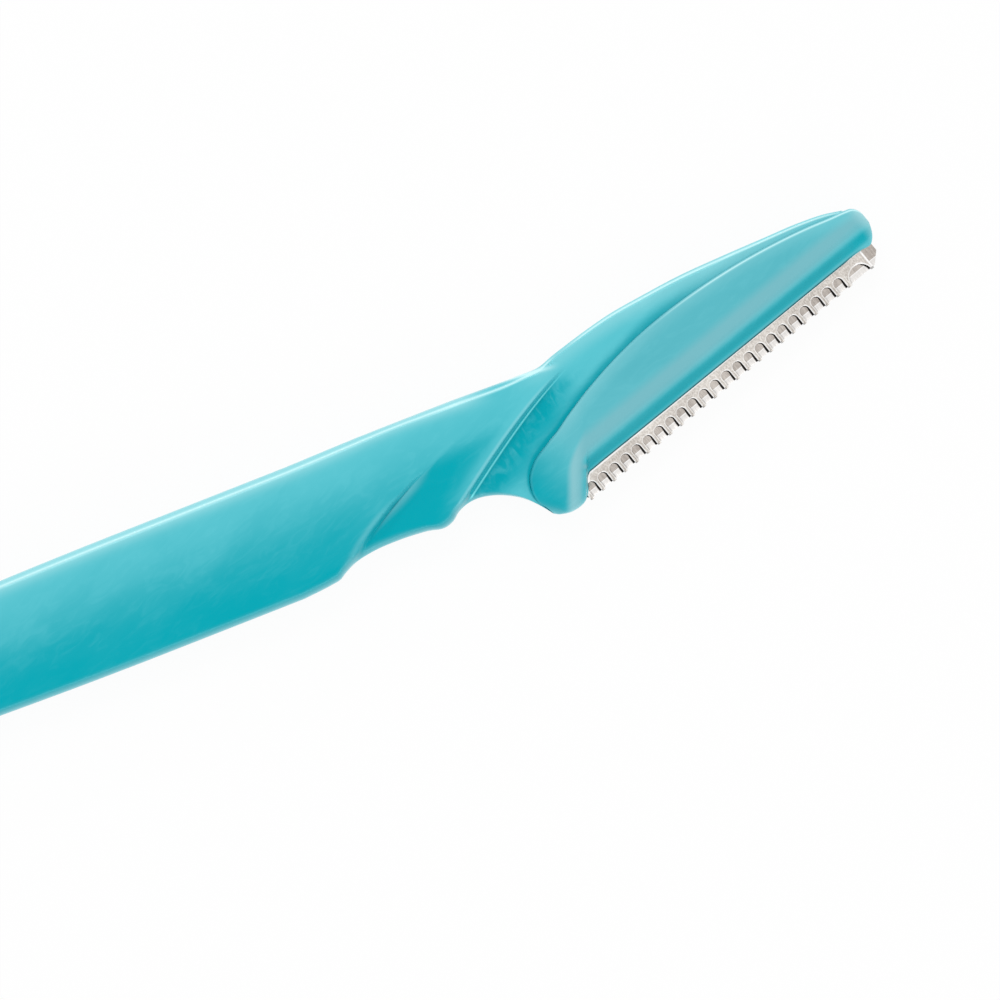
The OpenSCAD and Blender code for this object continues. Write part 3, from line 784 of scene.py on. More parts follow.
def handle_grid():
    """Points over the upper face of the handle, with the masks for its plastic."""
    s = shape()
    tail, grip, head = tail_rows(TAIL_GAP), grip_rows(), head_rows()
    head_gaps = np.where(np.arange(len(head) - 1) < NECK_SPANS, NECK_GAP, HEAD_GAP)
    grip_part, head_part = curve_rows(grip, GRIP_GAP)[:-1], curve_rows(head, head_gaps)
    rows = np.vstack([tail, grip_part, head_part])
    low, high = rows[:, :2], rows[:, 2:]
    length = np.linalg.norm(high - low, axis=1)
    on_head = np.arange(len(rows)) >= len(tail) + len(grip_part)
    neck = ease(grip[7][0], head[0][0], low[:, 0])
    spine = ease(head[0][2], head[4][2], high[:, 0])
    low_r = np.where(on_head, s.spine_edge_r, between(s.edge_r, s.spine_edge_r, neck))
    high_r = between(s.edge_r, s.spine_edge_r, spine)
    wall = between(s.wall_h, s.spine_wall_h, np.where(on_head, 1, neck))
    low_r = np.minimum(low_r, length * ROUNDED_SHARE)
    high_r = np.minimum(high_r, length * ROUNDED_SHARE)
    past_neck = ease(head[0][0], head[6][0], low[:, 0]) * on_head
    spread = low_r * (1 - past_neck / 2)
    offset = across(length, spread, high_r, EDGE_STEPS, MID_STEPS)

    def placed(away):
        return low[:, None] + (high - low)[:, None] * (away / length[:, None])[..., None]

    inner = offset[:, EDGE_STEPS:-EDGE_STEPS]
    by_ridge = sum(bump(ridge_past(ridge, placed(inner)) - s.ridge_wall / 2, s.ridge_wall)
                   for ridge in (RIDGE_1_SHARES, RIDGE_2_SHARES))
    offset[:, EDGE_STEPS:-EDGE_STEPS] = crowded(inner, 1 + CROWDING * by_ridge)
    p = placed(offset)
    short_low = 1 - rise(offset, low_r[:, None])
    short_high = 1 - rise(length[:, None] - offset, high_r[:, None])
    short_end = 1 - rise(rows[:, :1] - CAD_LOW[0] / MM, s.tail_w / 2)
    half = np.minimum(handle_half(p) + ridge_detail(p), full_half())
    from_neck = np.linalg.norm(low - head[0, :2], axis=1)
    by_cover = (ease(0, s.cover_end_r, from_neck) * on_head)[:, None]
    full = blended(1, short_low * (1 - by_cover), short_high, short_end)
    z = between(wall[:, None], half, full)
    past_2, up_2 = ridge_past(RIDGE_2_SHARES, p), ridge_up(RIDGE_2_SHARES, p[..., 1])
    along = to_blade(p)[..., 0] / s.head_l
    valley = band(past_2, s.ridge_wall, s.ridge_wall * 2, *VALLEY_END) * fall(0.75, 1, up_2)
    # Painted shade on the handle beside the covers' seam, deepest at the heel, and a thin painted shade line
    # at the seam
    seam = by_cover * fall(0, SEAM_SHADE, offset) * fall(0.35, 0.75, along)
    seam_shade_line = by_cover * fall(0, EDGE_LINE / 3, offset)
    seam_shade_depth = TONE_AND_PAINTED_LIGHT_SHARES["seam"] + TONE_AND_PAINTED_LIGHT_SHARES["seam at the heel"] * fall(0, 0.2, along)
    by_spine = ease(0.04, 0.2, along) * fall(0.3, 0.7, along) * ease(EDGE_LINE, EDGE_LINE * 4, offset)
    # Painted highlight on the rounded edges and the tail's end
    lit = np.hypot(np.where(on_head[:, None], 0, short_low), short_high)
    masks = {
        "edge": np.clip(lit + short_end, 0, 1),
        "tone": np.clip(handle_tone_and_painted_light(p) - seam_shade_depth * seam + TONE_AND_PAINTED_LIGHT_SHARES["spine middle"] * by_spine, 0, 1),
        "mottle": valley * fall(0.1, 0.35, along),
        "painted_shade": PAINTED_SHADE_SHARES["seam"] * seam + PAINTED_SHADE_SHARES["seam line"] * seam_shade_line,
        "painted_highlight": handle_painted_highlight(p, length[:, None] - offset),
        "painted_reflection": handle_painted_reflection(p, offset, on_head[:, None]),
    }
    return np.dstack([p, z]), masks


def both_faces(name, grid, masks):
    """Closed piece with the grid as its upper face and the mirror image as its lower one."""
    top, under = grid.copy(), grid.copy()
    top[..., 2] = mid_z() + grid[..., 2]
    under[..., 2] = mid_z() - grid[..., 2]
    return moulding(name, top, under, masks)


def beyond_chamfer(p):
    """Distance from the chamfer above the metal, round the corner at the heel's inner wall."""
    s = shape()
    wall_foot = lower_rows()[6]
    wall_x = (p[..., 1] - wall_foot[1]) / HEEL_WALL_SLOPE + wall_foot[0] - HEEL_LIP_W
    above = p[..., 1] - s.blade_show - s.chamfer_w
    behind = (wall_x - p[..., 0]) * HEEL_WALL_SLOPE / math.hypot(1, HEEL_WALL_SLOPE)
    outside = np.hypot(np.maximum(above, 0), np.maximum(behind, 0))
    return np.where((above > 0) & (behind > 0), outside, np.maximum(above, behind)), behind


def cover_half(p, seam_y):
    """Half thickness of a cover, in the blade's frame, before its edges are rounded."""
    s = shape()
    x, y = p[..., 0], p[..., 1]
    beyond, behind = beyond_chamfer(p)
    along = ease(0, s.head_l, x)
    crest = between(s.head_t, s.head_tip_t, along) / 2
    seam_level = between(s.spine_t, s.spine_tip_t, along) / 2 + s.cover_step
    up = np.maximum(0, (y - s.crest_w) / np.maximum(s.seam_gap, seam_y - s.crest_w))
    face = crest - (crest - seam_level) * np.minimum(1, up ** 2)
    face = face - s.heel_fall * ease(0, 1, -(x + s.cover_end_r / 2) / (HEEL_FALL_SHARE * s.head_l))
    face = face - s.heel_fall / 3 * fall(0, s.chamfer_w, beyond) * ease(-1, 1, behind)
    slope = ease(s.blade_show, s.blade_show + s.chamfer_w * CUT_FACE_SHARE, y)
    cut_face = between(s.lip_h, crest, slope)
    return between(face, np.minimum(face, cut_face), ease(0, s.chamfer_w / 5, -behind))


def cover_tone_and_painted_light(p):
    """Depth of a cover's colour: 0 in the deep parts, 1 in the pale ones, with a painted shade band on the
    chamfer, painted highlights along the crest and by the lip, and darker towards the heel.
    """
    s, given = shape(), TONE_AND_PAINTED_LIGHT_SHARES
    x, y = p[..., 0], p[..., 1]
    beyond, behind = beyond_chamfer(p)
    # Painted highlight along the crest
    crest = bump(beyond - s.chamfer_w, s.chamfer_w * 0.75)
    crest = crest * np.where(behind > 0, 1 - 0.2 * ease(0, 2, behind), 1)
    heel = given["heel"] * fall(-0.10 * s.head_l, 0.06 * s.head_l, x)
    # Painted shade band on the chamfer, and a painted highlight by the lip
    low = given["chamfer"] * band(y / s.blade_show, *CHAMFER_SHADE_SHARES)
    lip = given["lip"] * fall(s.blade_show * 1.05, s.blade_show * 1.3, y)
    tone = given["leaf"] - heel + given["leaf crest"] * crest + (lip - low) * (behind < 0)
    return np.clip(tone, 0, 1)


def cover_painted_highlight(p, from_seam):
    """Painted highlight line inside the seam, strongest towards the tip, and a painted pale glow on the leaf
    beside the seam.
    """
    given = PAINTED_HIGHLIGHT_SHARES
    along = p[..., 0] / shape().head_l
    strength = given["seam"] + given["seam at the tip"] * ease(0.35, 0.65, along)
    line = bump(from_seam - EDGE_LINE * 0.5, EDGE_LINE * 0.2) * strength
    return line + given["leaf"] * fall(0, EDGE_LINE * 4, from_seam) * ease(-0.05, 0.1, along)


def cover_painted_reflection(p):
    """Painted highlight band along the crest, round the corner at the heel, with a painted pale sheen on the
    leaf's face and a painted highlight on a small burr there.
    """
    s, given = shape(), PAINTED_REFLECTION_SHARES
    beyond, behind = beyond_chamfer(p)
    place = beyond - s.chamfer_w * 0.95
    reach = s.chamfer_w * (1.2 - 0.5 * ease(0, s.chamfer_w, behind))
    crest = band(place, -s.chamfer_w, -s.chamfer_w * 0.4, 0, reach)
    from_burr = np.hypot(p[..., 0] - BURR_PLACE[0], p[..., 1] - BURR_PLACE[1])
    on_leaf = ease(s.chamfer_w / 2, s.chamfer_w, beyond)
    face = given["leaf"] * on_leaf * ease(-0.12, 0.15, p[..., 0] / s.head_l)
    crest = crest * (given["leaf crest"] + given["heel crest"] * (behind > 0))
    return np.clip(face + crest + bump(from_burr, EDGE_LINE / 2), 0, 1)


def cover_grid():
    """Points over a cover's outer face, in the blade's frame, with the masks for its plastic."""
    s = shape()
    lower = lower_rows()
    units = [s.head_l, s.seam_w, s.head_l, s.blade_show]
    rows = np.vstack([np.hstack([seam_rows(), lower]), np.array(TIP_SHARES) * units])
    rows = curve_rows(rows, COVER_GAP)
    high, low = rows[:, :2], rows[:, 2:]
    length = np.linalg.norm(high - low, axis=1)
    metal = ease(lower[6][0], lower[8][0], low[:, 0])
    metal = metal * fall(lower[16][0], BLADE_END_SHARE * s.head_l, low[:, 0])
    low_r = between(s.cover_end_r, s.lip_h / 4, metal)
    low_r = np.minimum(low_r, length * ROUNDED_SHARE)
    seam_r = np.minimum(s.cover_step / 2, length * ROUNDED_SHARE)
    wall = (s.lip_h - s.lip_h / 4 * metal)[:, None]
    inner = length - 2 * s.seam_gap
    offset = across(inner, low_r, seam_r, COVER_EDGE_STEPS, COVER_MID_STEPS)
    p = low[:, None] + (high - low)[:, None] * ((offset + s.seam_gap) / length[:, None])[..., None]
    half = cover_half(p, high[:, None, 1])
    centre = (low + high) / 2
    from_ends = [np.linalg.norm(centre - centre[end], axis=1) for end in (0, -1)]
    end_gap = np.minimum(*from_ends)[:, None] + s.seam_gap
    short_low = 1 - rise(offset, low_r[:, None])
    step = np.minimum(s.cover_step, length * ROUNDED_SHARE)[:, None]
    seam_part = step / np.maximum(half - wall, s.seam_gap)
    short_high = (1 - rise(inner[:, None] - offset, seam_r[:, None])) * seam_part
    short_end = 1 - rise(end_gap, s.cover_end_r)
    full = blended(1, short_low, short_high, short_end)
    # Painted highlight on the covers' rounded edges, weaker along the seam towards the heel
    seam_rim = short_high * (0.3 + 0.7 * ease(0.35, 0.65, p[..., 0] / s.head_l))
    rounding = 1 - blended(1, short_low, seam_rim, short_end)
    # Painted shade along the lip's lower edge above the metal, and a painted shade band above it
    lip_shade = metal[:, None] * fall(s.lip_h / 8, s.lip_h / 3.5, offset)
    # Painted pale reflection on the chamfer, strongest by the lip
    lip_edge = fall(s.blade_show * 1.06, s.blade_show * 1.2, p[..., 1])
    lip_painted_reflection = PAINTED_REFLECTION_SHARES["chamfer"] + PAINTED_REFLECTION_SHARES["lip"] * lip_edge
    above_metal = bump(p[..., 1] - s.blade_show * 1.35, s.blade_show / 5)
    low_shade = PAINTED_SHADE_SHARES["above the metal"] * metal[:, None] * above_metal
    on_tip = np.arange(len(rows)) > len(rows) / 2
    # Painted highlight glows on the rounded tip and beside the heel's painted crest
    tip_highlight = PAINTED_HIGHLIGHT_SHARES["tip"] * on_tip[:, None] * fall(0, s.cover_end_r, end_gap)
    painted_reflection = cover_painted_reflection(p)
    heel_highlight = PAINTED_HIGHLIGHT_SHARES["heel"] * painted_reflection * ease(0, s.chamfer_w, beyond_chamfer(p)[1])
    masks = {
        "edge": rounding * (1 - metal[:, None] * (short_low > short_high)),
        "tone": cover_tone_and_painted_light(p),
        "mottle": np.zeros_like(full),
        "painted_shade": np.clip(lip_shade + low_shade, 0, 1),
        "painted_highlight": np.clip(cover_painted_highlight(p, inner[:, None] - offset) + tip_highlight + heel_highlight, 0, 1),
        "painted_reflection": np.clip(painted_reflection + PAINTED_REFLECTION_SHARES["ends"] * short_end + lip_painted_reflection * metal[:, None], 0, 1),
    }
    return np.dstack([p, between(wall, half, full)]), masks


def cover(name, side):
    """One cover, on the front for side 1 and on the back for side -1."""
    s = shape()
    grid, masks = cover_grid()
    x, y = grid[..., 0], grid[..., 1]
    in_slot = (x > -BLADE_TUCK_SHARE * s.head_l) & (x < BLADE_END_SHARE * s.head_l) & (y < s.blade_depth)
    inside = np.where(in_slot, s.slot_h, s.parting_gap / 2)
    placed = to_razor(grid[..., :2])
    outer = np.dstack([placed, mid_z() + side * grid[..., 2]])
    inner = np.dstack([placed, mid_z() + side * inside])
    return moulding(name, outer, inner, masks)


def metal_piece(name, node_name, bevel_w):
    """Sheet piece with its sharp edges eased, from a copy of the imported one."""
    bm = bmesh.new()
    bm.from_mesh(frame["nodes"][node_name].data)
    bmesh.ops.remove_doubles(bm, verts=bm.verts[:], dist=MM / 1000)
    bmesh.ops.dissolve_limit(bm, angle_limit=math.radians(1), verts=bm.verts[:], edges=bm.edges[:])
    corners = [e for e in bm.edges if e.is_manifold and e.calc_face_angle() > math.radians(20)]
    bmesh.ops.bevel(bm, geom=corners, offset=bevel_w * MM, segments=2, profile=0.5,
                    affect="EDGES", clamp_overlap=True, material=-1)
    piece = new_piece(name, bm)
    piece.data.set_sharp_from_angle(angle=math.radians(35))
    return piece


class Value:
    """Value that varies over a surface; sums with it add nodes to its shader's tree."""

    def __init__(self, tree, socket):
        self.tree = tree
        self.socket = socket

    def worked(self, operation, other=0.0):
        """Result of a sum with a second value or a plain number."""
        return worked(self.tree, operation, self, other)

    def __add__(self, other):
        return self.worked("ADD", other)

    def __sub__(self, other):
        return self.worked("SUBTRACT", other)

    def __rsub__(self, other):
        return worked(self.tree, "SUBTRACT", other, self)

    def __mul__(self, other):
        return self.worked("MULTIPLY", other)

    def __truediv__(self, other):
        return self.worked("DIVIDE", other)

    def __pow__(self, other):
        return self.worked("POWER", other)

    def __abs__(self):
        return self.worked("ABSOLUTE")

    def __gt__(self, other):
        return self.worked("GREATER_THAN", other)

    def __lt__(self, other):
        return self.worked("LESS_THAN", other)

    def larger(self, other):
        """The larger of the two, point by point."""
        return self.worked("MAXIMUM", other)

    def mapped(self, low, high, to_low=0.0, to_high=1.0):
        """Value taken smoothly from one range to another."""
        made = node(self.tree, "ShaderNodeMapRange", interpolation_type="SMOOTHSTEP", in_Value=self,
                    in_From_Min=low, in_From_Max=high, in_To_Min=to_low, in_To_Max=to_high)
        return Value(self.tree, made.outputs["Result"])

    def band(self, start, full, last, end):
        """1 between full and last, falling smoothly to 0 at start and end."""
        return self.mapped(start, full) * self.mapped(last, end, 1.0, 0.0)


def fill(socket, value):
    """Link a value to an input, or set the input to a number or colour."""
    if isinstance(value, Value):
        value.tree.links.new(value.socket, socket)
    elif isinstance(value, (int, float)):
        socket.default_value = value
    else:
        socket.default_value = (*value, 1)


def fill_inputs(made, **values):
    """Fill the inputs of these names, where an underscore stands for a space."""
    for label, value in values.items():
        fill(made.inputs[label.replace("_", " ")], value)


def node(tree, kind, **settings):
    """New shader node with its settings; a setting whose name starts with in_ fills an input."""
    made = tree.nodes.new(kind)
    for key, value in settings.items():
        if not key.startswith("in_"):
            setattr(made, key, value)
    fill_inputs(made, **{key[3:]: value for key, value in settings.items() if key.startswith("in_")})
    return made


def worked(tree, operation, a, b):
    """Result of a sum on two values, either of which may be a plain number."""
    made = node(tree, "ShaderNodeMath", operation=operation)
    for socket, value in zip(made.inputs, (a, b)):
        fill(socket, value)
    return Value(tree, made.outputs[0])


def noise(vector, scale, detail, distortion=0.0):
    """Noise at a scale in waves per unit of the coordinates."""
    made = node(vector.tree, "ShaderNodeTexNoise", in_Vector=vector, in_Scale=scale, in_Detail=detail,
                in_Distortion=distortion)
    return Value(vector.tree, made.outputs["Fac"])


def length_of(a, b):
    """Length of the line with these two steps."""
    return (a * a + b * b).worked("SQRT")


def mixed(tree, share, a, b):
    """Colour between two colours."""
    made = node(tree, "ShaderNodeMix", data_type="RGBA")
    for place, value in ((0, share), (6, a), (7, b)):
        fill(made.inputs[place], value)
    return Value(tree, made.outputs[2])


def new_group(name, inputs, outputs):
    """Empty node group with number inputs; its outputs are numbers too, apart from Normal."""
    tree = bpy.data.node_groups.new(name, "ShaderNodeTree")
    for label, value in inputs.items():
        socket = tree.interface.new_socket(label, in_out="INPUT", socket_type="NodeSocketFloat")
        socket.default_value = value
    for label in outputs:
        kind = "NodeSocketVector" if label == "Normal" else "NodeSocketFloat"
        tree.interface.new_socket(label, in_out="OUTPUT", socket_type=kind)
    source = tree.nodes.new("NodeGroupInput")
    given = {label: Value(tree, source.outputs[label]) for label in inputs}
    return tree, given, tree.nodes.new("NodeGroupOutput")


def use_group(tree, name, **values):
    """Outputs of a group that is placed in a material with these numbers."""
    made = node(tree, "ShaderNodeGroup", node_tree=bpy.data.node_groups[name])
    fill_inputs(made, **values)
    return {socket.name: Value(tree, socket) for socket in made.outputs}


def vector_worked(vector, operation, other):
    """Result of a sum on coordinates and a fixed vector."""
    made = node(vector.tree, "ShaderNodeVectorMath", operation=operation)
    fill(made.inputs[0], vector)
    made.inputs[1].default_value = other
    return Value(vector.tree, made.outputs[0])


def stretched(vector, scale):
    """Coordinates scaled by a different amount along each axis."""
    return vector_worked(vector, "MULTIPLY", scale)


def place_on_razor(tree):
    """Object coordinates, in metres."""
    return Value(tree, tree.nodes.new("ShaderNodeTexCoord").outputs["Object"])


def place_on_head(tree):
    """Coordinates in millimetres from the blade's heel, with X along the blade's edge."""
    heel = (head_x() * MM, -shape().heel_drop * MM, 0)
    shifted = vector_worked(place_on_razor(tree), "SUBTRACT", heel)
    turned = node(tree, "ShaderNodeVectorRotate", rotation_type="Z_AXIS", in_Vector=shifted,
                  in_Angle=-shape().head_tilt)
    return stretched(Value(tree, turned.outputs[0]), PER_MM)


def x_and_y(vector):
    """The first two of a point's coordinates."""
    split = vector.tree.nodes.new("ShaderNodeSeparateXYZ")
    fill(split.inputs[0], vector)
    return Value(vector.tree, split.outputs["X"]), Value(vector.tree, split.outputs["Y"])


def textured(tree, **settings):
    """Surface normals from a fine texture's height."""
    return Value(tree, node(tree, "ShaderNodeBump", **settings).outputs[0])


def moulding_group():
    """Moulded plastic: flow marks, cloudy patches and a fine surface texture."""
    tree, given, out = new_group(
        "Moulded surface", {"Flow": 1.0, "Texture": 1.0}, ("Tone", "Cloud", "Gloss", "Normal"))
    place = place_on_head(tree)
    cloud = noise(stretched(place, CLOUD_WAVES), 1.0, 4, 0.8)
    flow = noise(stretched(place, FLOW_WAVES), 1.0, 5, 1.6)
    fingers = noise(stretched(place, FINGER_WAVES), 1.0, 6, 1.2)
    speck = noise(place, SPECK_WAVES, 3)
    marks = flow.mapped(0.42, 0.72) * given["Flow"]
    normal = textured(tree, in_Distance=PLASTIC_TEXTURE * MM, in_Strength=given["Texture"] * 0.12,
                      in_Height=flow * 1.2 + speck)
    fill_inputs(out, Tone=cloud.mapped(0.3, 0.7, 0.0, 0.6) + marks * 0.4, Normal=normal,
                Cloud=fingers.mapped(0.3, 0.7), Gloss=marks * 0.7 + speck * 0.3)


def window_group():
    """Distance to the edge of the guard's windows, side of each window and place, in millimetres."""
    tree, _, out = new_group("Window pattern", {}, ("Gap", "Side", "Height", "Along"))
    s = shape()
    radius = s.window_w / 2
    x, y = x_and_y(place_on_head(tree))
    turns = (x - (s.window_start - radius)) / s.window_pitch
    side = ((turns + 0.5).worked("FRACT") - 0.5) * s.window_pitch
    above = (y - (s.window_h - radius)).larger(0.0)
    past_row = x > s.window_start + (WINDOW_COUNT - 0.7) * s.window_pitch
    row_gap = length_of(side, above) - radius + past_row * s.head_l
    end_side = x - s.end_window_x
    end_gap = length_of(end_side, y) - s.end_window_r
    fill_inputs(out, Gap=row_gap.worked("MINIMUM", end_gap), Height=y, Along=x,
                Side=side * (1.0 - past_row) + end_side * past_row)


def metal_group():
    """Pressed or ground steel: a speckled grain, fine marks across the edge and soft patches."""
    tree, given, out = new_group(
        "Worked steel", {"Grain": 1.0, "Marks": 1.0}, ("Tone", "Gloss", "Normal"))
    place = place_on_head(tree)
    grain = noise(stretched(place, GRAIN_WAVES), 1.0, 4)
    marks = noise(stretched(place, MARK_WAVES), 1.0, 3)
    patch = noise(stretched(place, PATCH_WAVES), 1.0, 3, 0.5)
    fine = grain.mapped(0.3, 0.7) * given["Grain"] * 0.5
    fine = fine + marks.mapped(0.35, 0.65) * given["Marks"] * 0.35
    normal = textured(tree, in_Distance=STEEL_TEXTURE * MM, in_Strength=0.3, in_Height=fine)
    fill_inputs(out, Tone=fine + patch.mapped(0.3, 0.7, 0.0, 0.3), Gloss=fine, Normal=normal)


def past_ridge(x, y, shares):
    """Height up a finger ridge and distance past it."""
    foot, foot_h, height, lean, bend, power = shares
    s = shape()
    rise_h = height * s.grip_w
    up = ((y - foot_h * s.grip_w) / rise_h).larger(0.0)
    line = up * (lean * rise_h) + up ** power * (bend * rise_h)
    return up, x - (head_x() + foot * s.grip_l) - line


def along_ridge(past, centre, width, up, ends):
    """Thin soft line beside a ridge, between the heights given as start, full, last and end."""
    return abs(past - centre).mapped(0.0, width, 1.0, 0.0) * up.band(*ends)


def painted_ridge_light_group():
    """Painted light by the finger ridges: a painted highlight on the thin lip, a painted shade line and a
    painted highlight on the pale crest.
    """
    tree, _, out = new_group("Painted ridge light", {}, ("Lip", "Line", "Crest"))
    wall = shape().ridge_wall
    x, y = x_and_y(stretched(place_on_razor(tree), PER_MM))
    up_1, past_1 = past_ridge(x, y, RIDGE_1_SHARES)
    up_2, past_2 = past_ridge(x, y, RIDGE_2_SHARES)
    shade_line_1 = along_ridge(past_1, wall * 0.7, SHADE_LINE_W / 2, up_1, LINE_1_SHARES)
    shade_line_2 = along_ridge(past_2, wall / 2, SHADE_LINE_W, up_2, LINE_2_SHARES)
    fill_inputs(out, Line=shade_line_1.larger(shade_line_2),
                Lip=along_ridge(past_2, wall + LIP_HIGHLIGHT_W / 2, LIP_HIGHLIGHT_W, up_2, LINE_2_SHARES),
                Crest=along_ridge(past_2, -CREST_HIGHLIGHT_W / 3, CREST_HIGHLIGHT_W, up_2, CREST_HIGHLIGHT_SHARES))


def new_material(name):
    """Material with an empty Principled surface."""
    material = bpy.data.materials.new(name)
    material.use_nodes = True
    return material, material.node_tree, material.node_tree.nodes["Principled BSDF"]


def plastic(name, tones, roughness, specular, with_ridge_light=False):
    """Coloured plastic, deep to pale by its masks, with painted reflection, painted highlights and painted
    shade from them; the last flag adds the painted shade line and highlights by the finger ridges.
    """
    material, tree, surface = new_material(name)
    given = PLASTIC_SHARES
    made = use_group(tree, "Moulded surface", Flow=1.0, Texture=1.0)
    tone, edge, mottle, painted_shade, painted_highlight, painted_reflection = (
        Value(tree, node(tree, "ShaderNodeAttribute", attribute_name=key).outputs["Fac"])
        for key in MASKS)
    share = tone + (made["Tone"] - 0.45) * given["drift"] + (made["Cloud"] - 0.5) * mottle * given["cloud"]
    crest = lip = None
    if with_ridge_light:
        ridge_light = use_group(tree, "Painted ridge light")
        # Painted highlights on the second ridge's crest and lip, and painted shade lines along both ridges
        crest, lip = ridge_light["Crest"] * given["crest"], ridge_light["Lip"] * given["lip"]
        painted_shade = painted_shade.larger(ridge_light["Line"] * given["line"])
    colour_made = mixed(tree, share.mapped(0.0, 1.0), tones.deep, tones.light)
    # Painted reflection, painted edge and crest highlights, painted shade, the lip's painted highlight and
    # painted highlight lines over the body colour
    for strength, coat in (
            (painted_reflection * given["painted_reflection"], tones.painted_reflection),
            (edge.mapped(0.0, 1.0) * given["edge"], tones.edge),
            (crest, tones.edge),
            (painted_shade * given["painted_shade"], tones.painted_shade),
            (lip, tones.sheen),
            (painted_highlight, tones.painted_highlight)):
        if strength is not None:
            colour_made = mixed(tree, strength, colour_made, coat)
    rough = made["Gloss"].mapped(0.0, 1.0, roughness - 0.06, roughness + 0.10)
    fill_inputs(surface, Base_Color=colour_made, Roughness=rough, Normal=made["Normal"],
                Specular_IOR_Level=specular, Specular_Tint=tones.sheen)
    return material


def steel(name, dark, bright, roughness, grain, marks):
    """Steel with a grain that varies its gloss; gives back its tree, surface and grained colour too."""
    material, tree, surface = new_material(name)
    made = use_group(tree, "Worked steel", Grain=grain, Marks=marks)
    rough = made["Gloss"].mapped(0.0, 1.0, roughness - 0.08, roughness + 0.12)
    fill_inputs(surface, Metallic=1.0, Roughness=rough, Normal=made["Normal"])
    return material, tree, surface, mixed(tree, made["Tone"], dark, bright)


def by_heel_wall(pattern):
    """1 on the strip of metal beside the heel's inner wall."""
    foot = lower_rows()[6]
    run = (pattern["Height"] - foot[1]) / HEEL_WALL_SLOPE
    return (pattern["Along"] - foot[0] - run).mapped(*WALL_HIGHLIGHT, 1.0, 0.0)


def guard_finish(tones):
    """Pressed guard: speckled face, painted highlights on the rims round the windows, at its end and beside
    the heel's wall, a painted highlight line by the covers, and painted shade lines by the windows and at
    their feet.
    """
    s, given = shape(), STEEL_PAINTED_LIGHT_SHARES
    material, tree, surface, base = steel(
        "Guard steel", tones.guard_dark, tones.guard_bright, roughness=0.40, grain=1.0, marks=0.3)
    pattern = use_group(tree, "Window pattern")
    gap, side, height = pattern["Gap"], pattern["Side"], pattern["Height"]
    # Painted highlights on the windows' rims, weaker on their left
    rim = (gap / side.mapped(0.2, 0.4, *RIM_HIGHLIGHT_WIDTHS)).mapped(0.5, 1.0, 1.0, 0.0)
    rim = rim * side.mapped(-0.3, 0.3, given["left rim"], 1.0)
    # Painted highlights along the covers' edge, at the guard's end and beside the heel's wall
    upper = height.mapped(s.blade_show * 0.93, s.blade_show * 0.98)
    end_rim_highlight = pattern["Along"].mapped(s.guard_end - END_RIM_HIGHLIGHT[0], s.guard_end - END_RIM_HIGHLIGHT[1])
    share = rim.larger(upper).larger(end_rim_highlight).larger(by_heel_wall(pattern))
    # Painted shade: a thin line left of each window and a dark foot right of each
    line = abs(gap - WINDOW_SHADE_LINE).mapped(0.0, WINDOW_SHADE_LINE_W, given["line"], 0.0) * (side < 0.0)
    line = line * height.mapped(s.bevel_h, s.window_h * 0.8, 1.0, 0.0)
    foot = height.mapped(0.0, FOOT_SHADE_H, given["foot"], 0.0) * (side > 0.0)
    highlighted = mixed(tree, share, base, tones.rim)
    fill_inputs(surface, Base_Color=mixed(tree, line.larger(foot), highlighted, tones.painted_steel_shade))
    return material


def blade_finish(tones):
    """Ground blade: dull flat, a bevel painted brighter, partly for its ground finish and partly as a
    painted highlight, and painted shade inside one side of every window and under the guard.
    """
    s, given = shape(), STEEL_PAINTED_LIGHT_SHARES
    material, tree, surface, base = steel(
        "Blade steel", tones.blade_dark, tones.blade_bright, roughness=0.34, grain=0.5, marks=1.0)
    pattern = use_group(tree, "Window pattern")
    gap, side, height = pattern["Gap"], pattern["Side"], pattern["Height"]
    from_bevel = height - s.bevel_h
    # The bevel painted brighter, partly its ground finish and partly a painted highlight, with a painted
    # highlight line along its top
    bright = from_bevel.mapped(*BEVEL_EDGE, given["bevel"], 0.0).larger(from_bevel.band(*BEVEL_LINE))
    ground = mixed(tree, bright, base, tones.rim)
    # Painted shadow of the guard inside one side of each window, and painted shade under the guard
    inside = (gap / height.mapped(0.3, s.window_h, *WINDOW_SHADES)).mapped(-1.1, -0.8)
    shade = inside * side.mapped(-0.05, 0.25, 0.25, 1.0) * given["window shade"]
    dark = shade.larger((gap > 0.0) * given["under the guard"])
    dark = dark * (1.0 - (pattern["Along"] > s.guard_end))
    fill_inputs(surface, Base_Color=mixed(tree, dark, ground, tones.painted_steel_shade))
    return material


def dress(piece, material, slot, *nodes):
    """Give a finished piece its material and its place in the frame."""
    piece.data.materials.append(material)
    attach(piece, ROOT)
    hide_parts(*nodes)


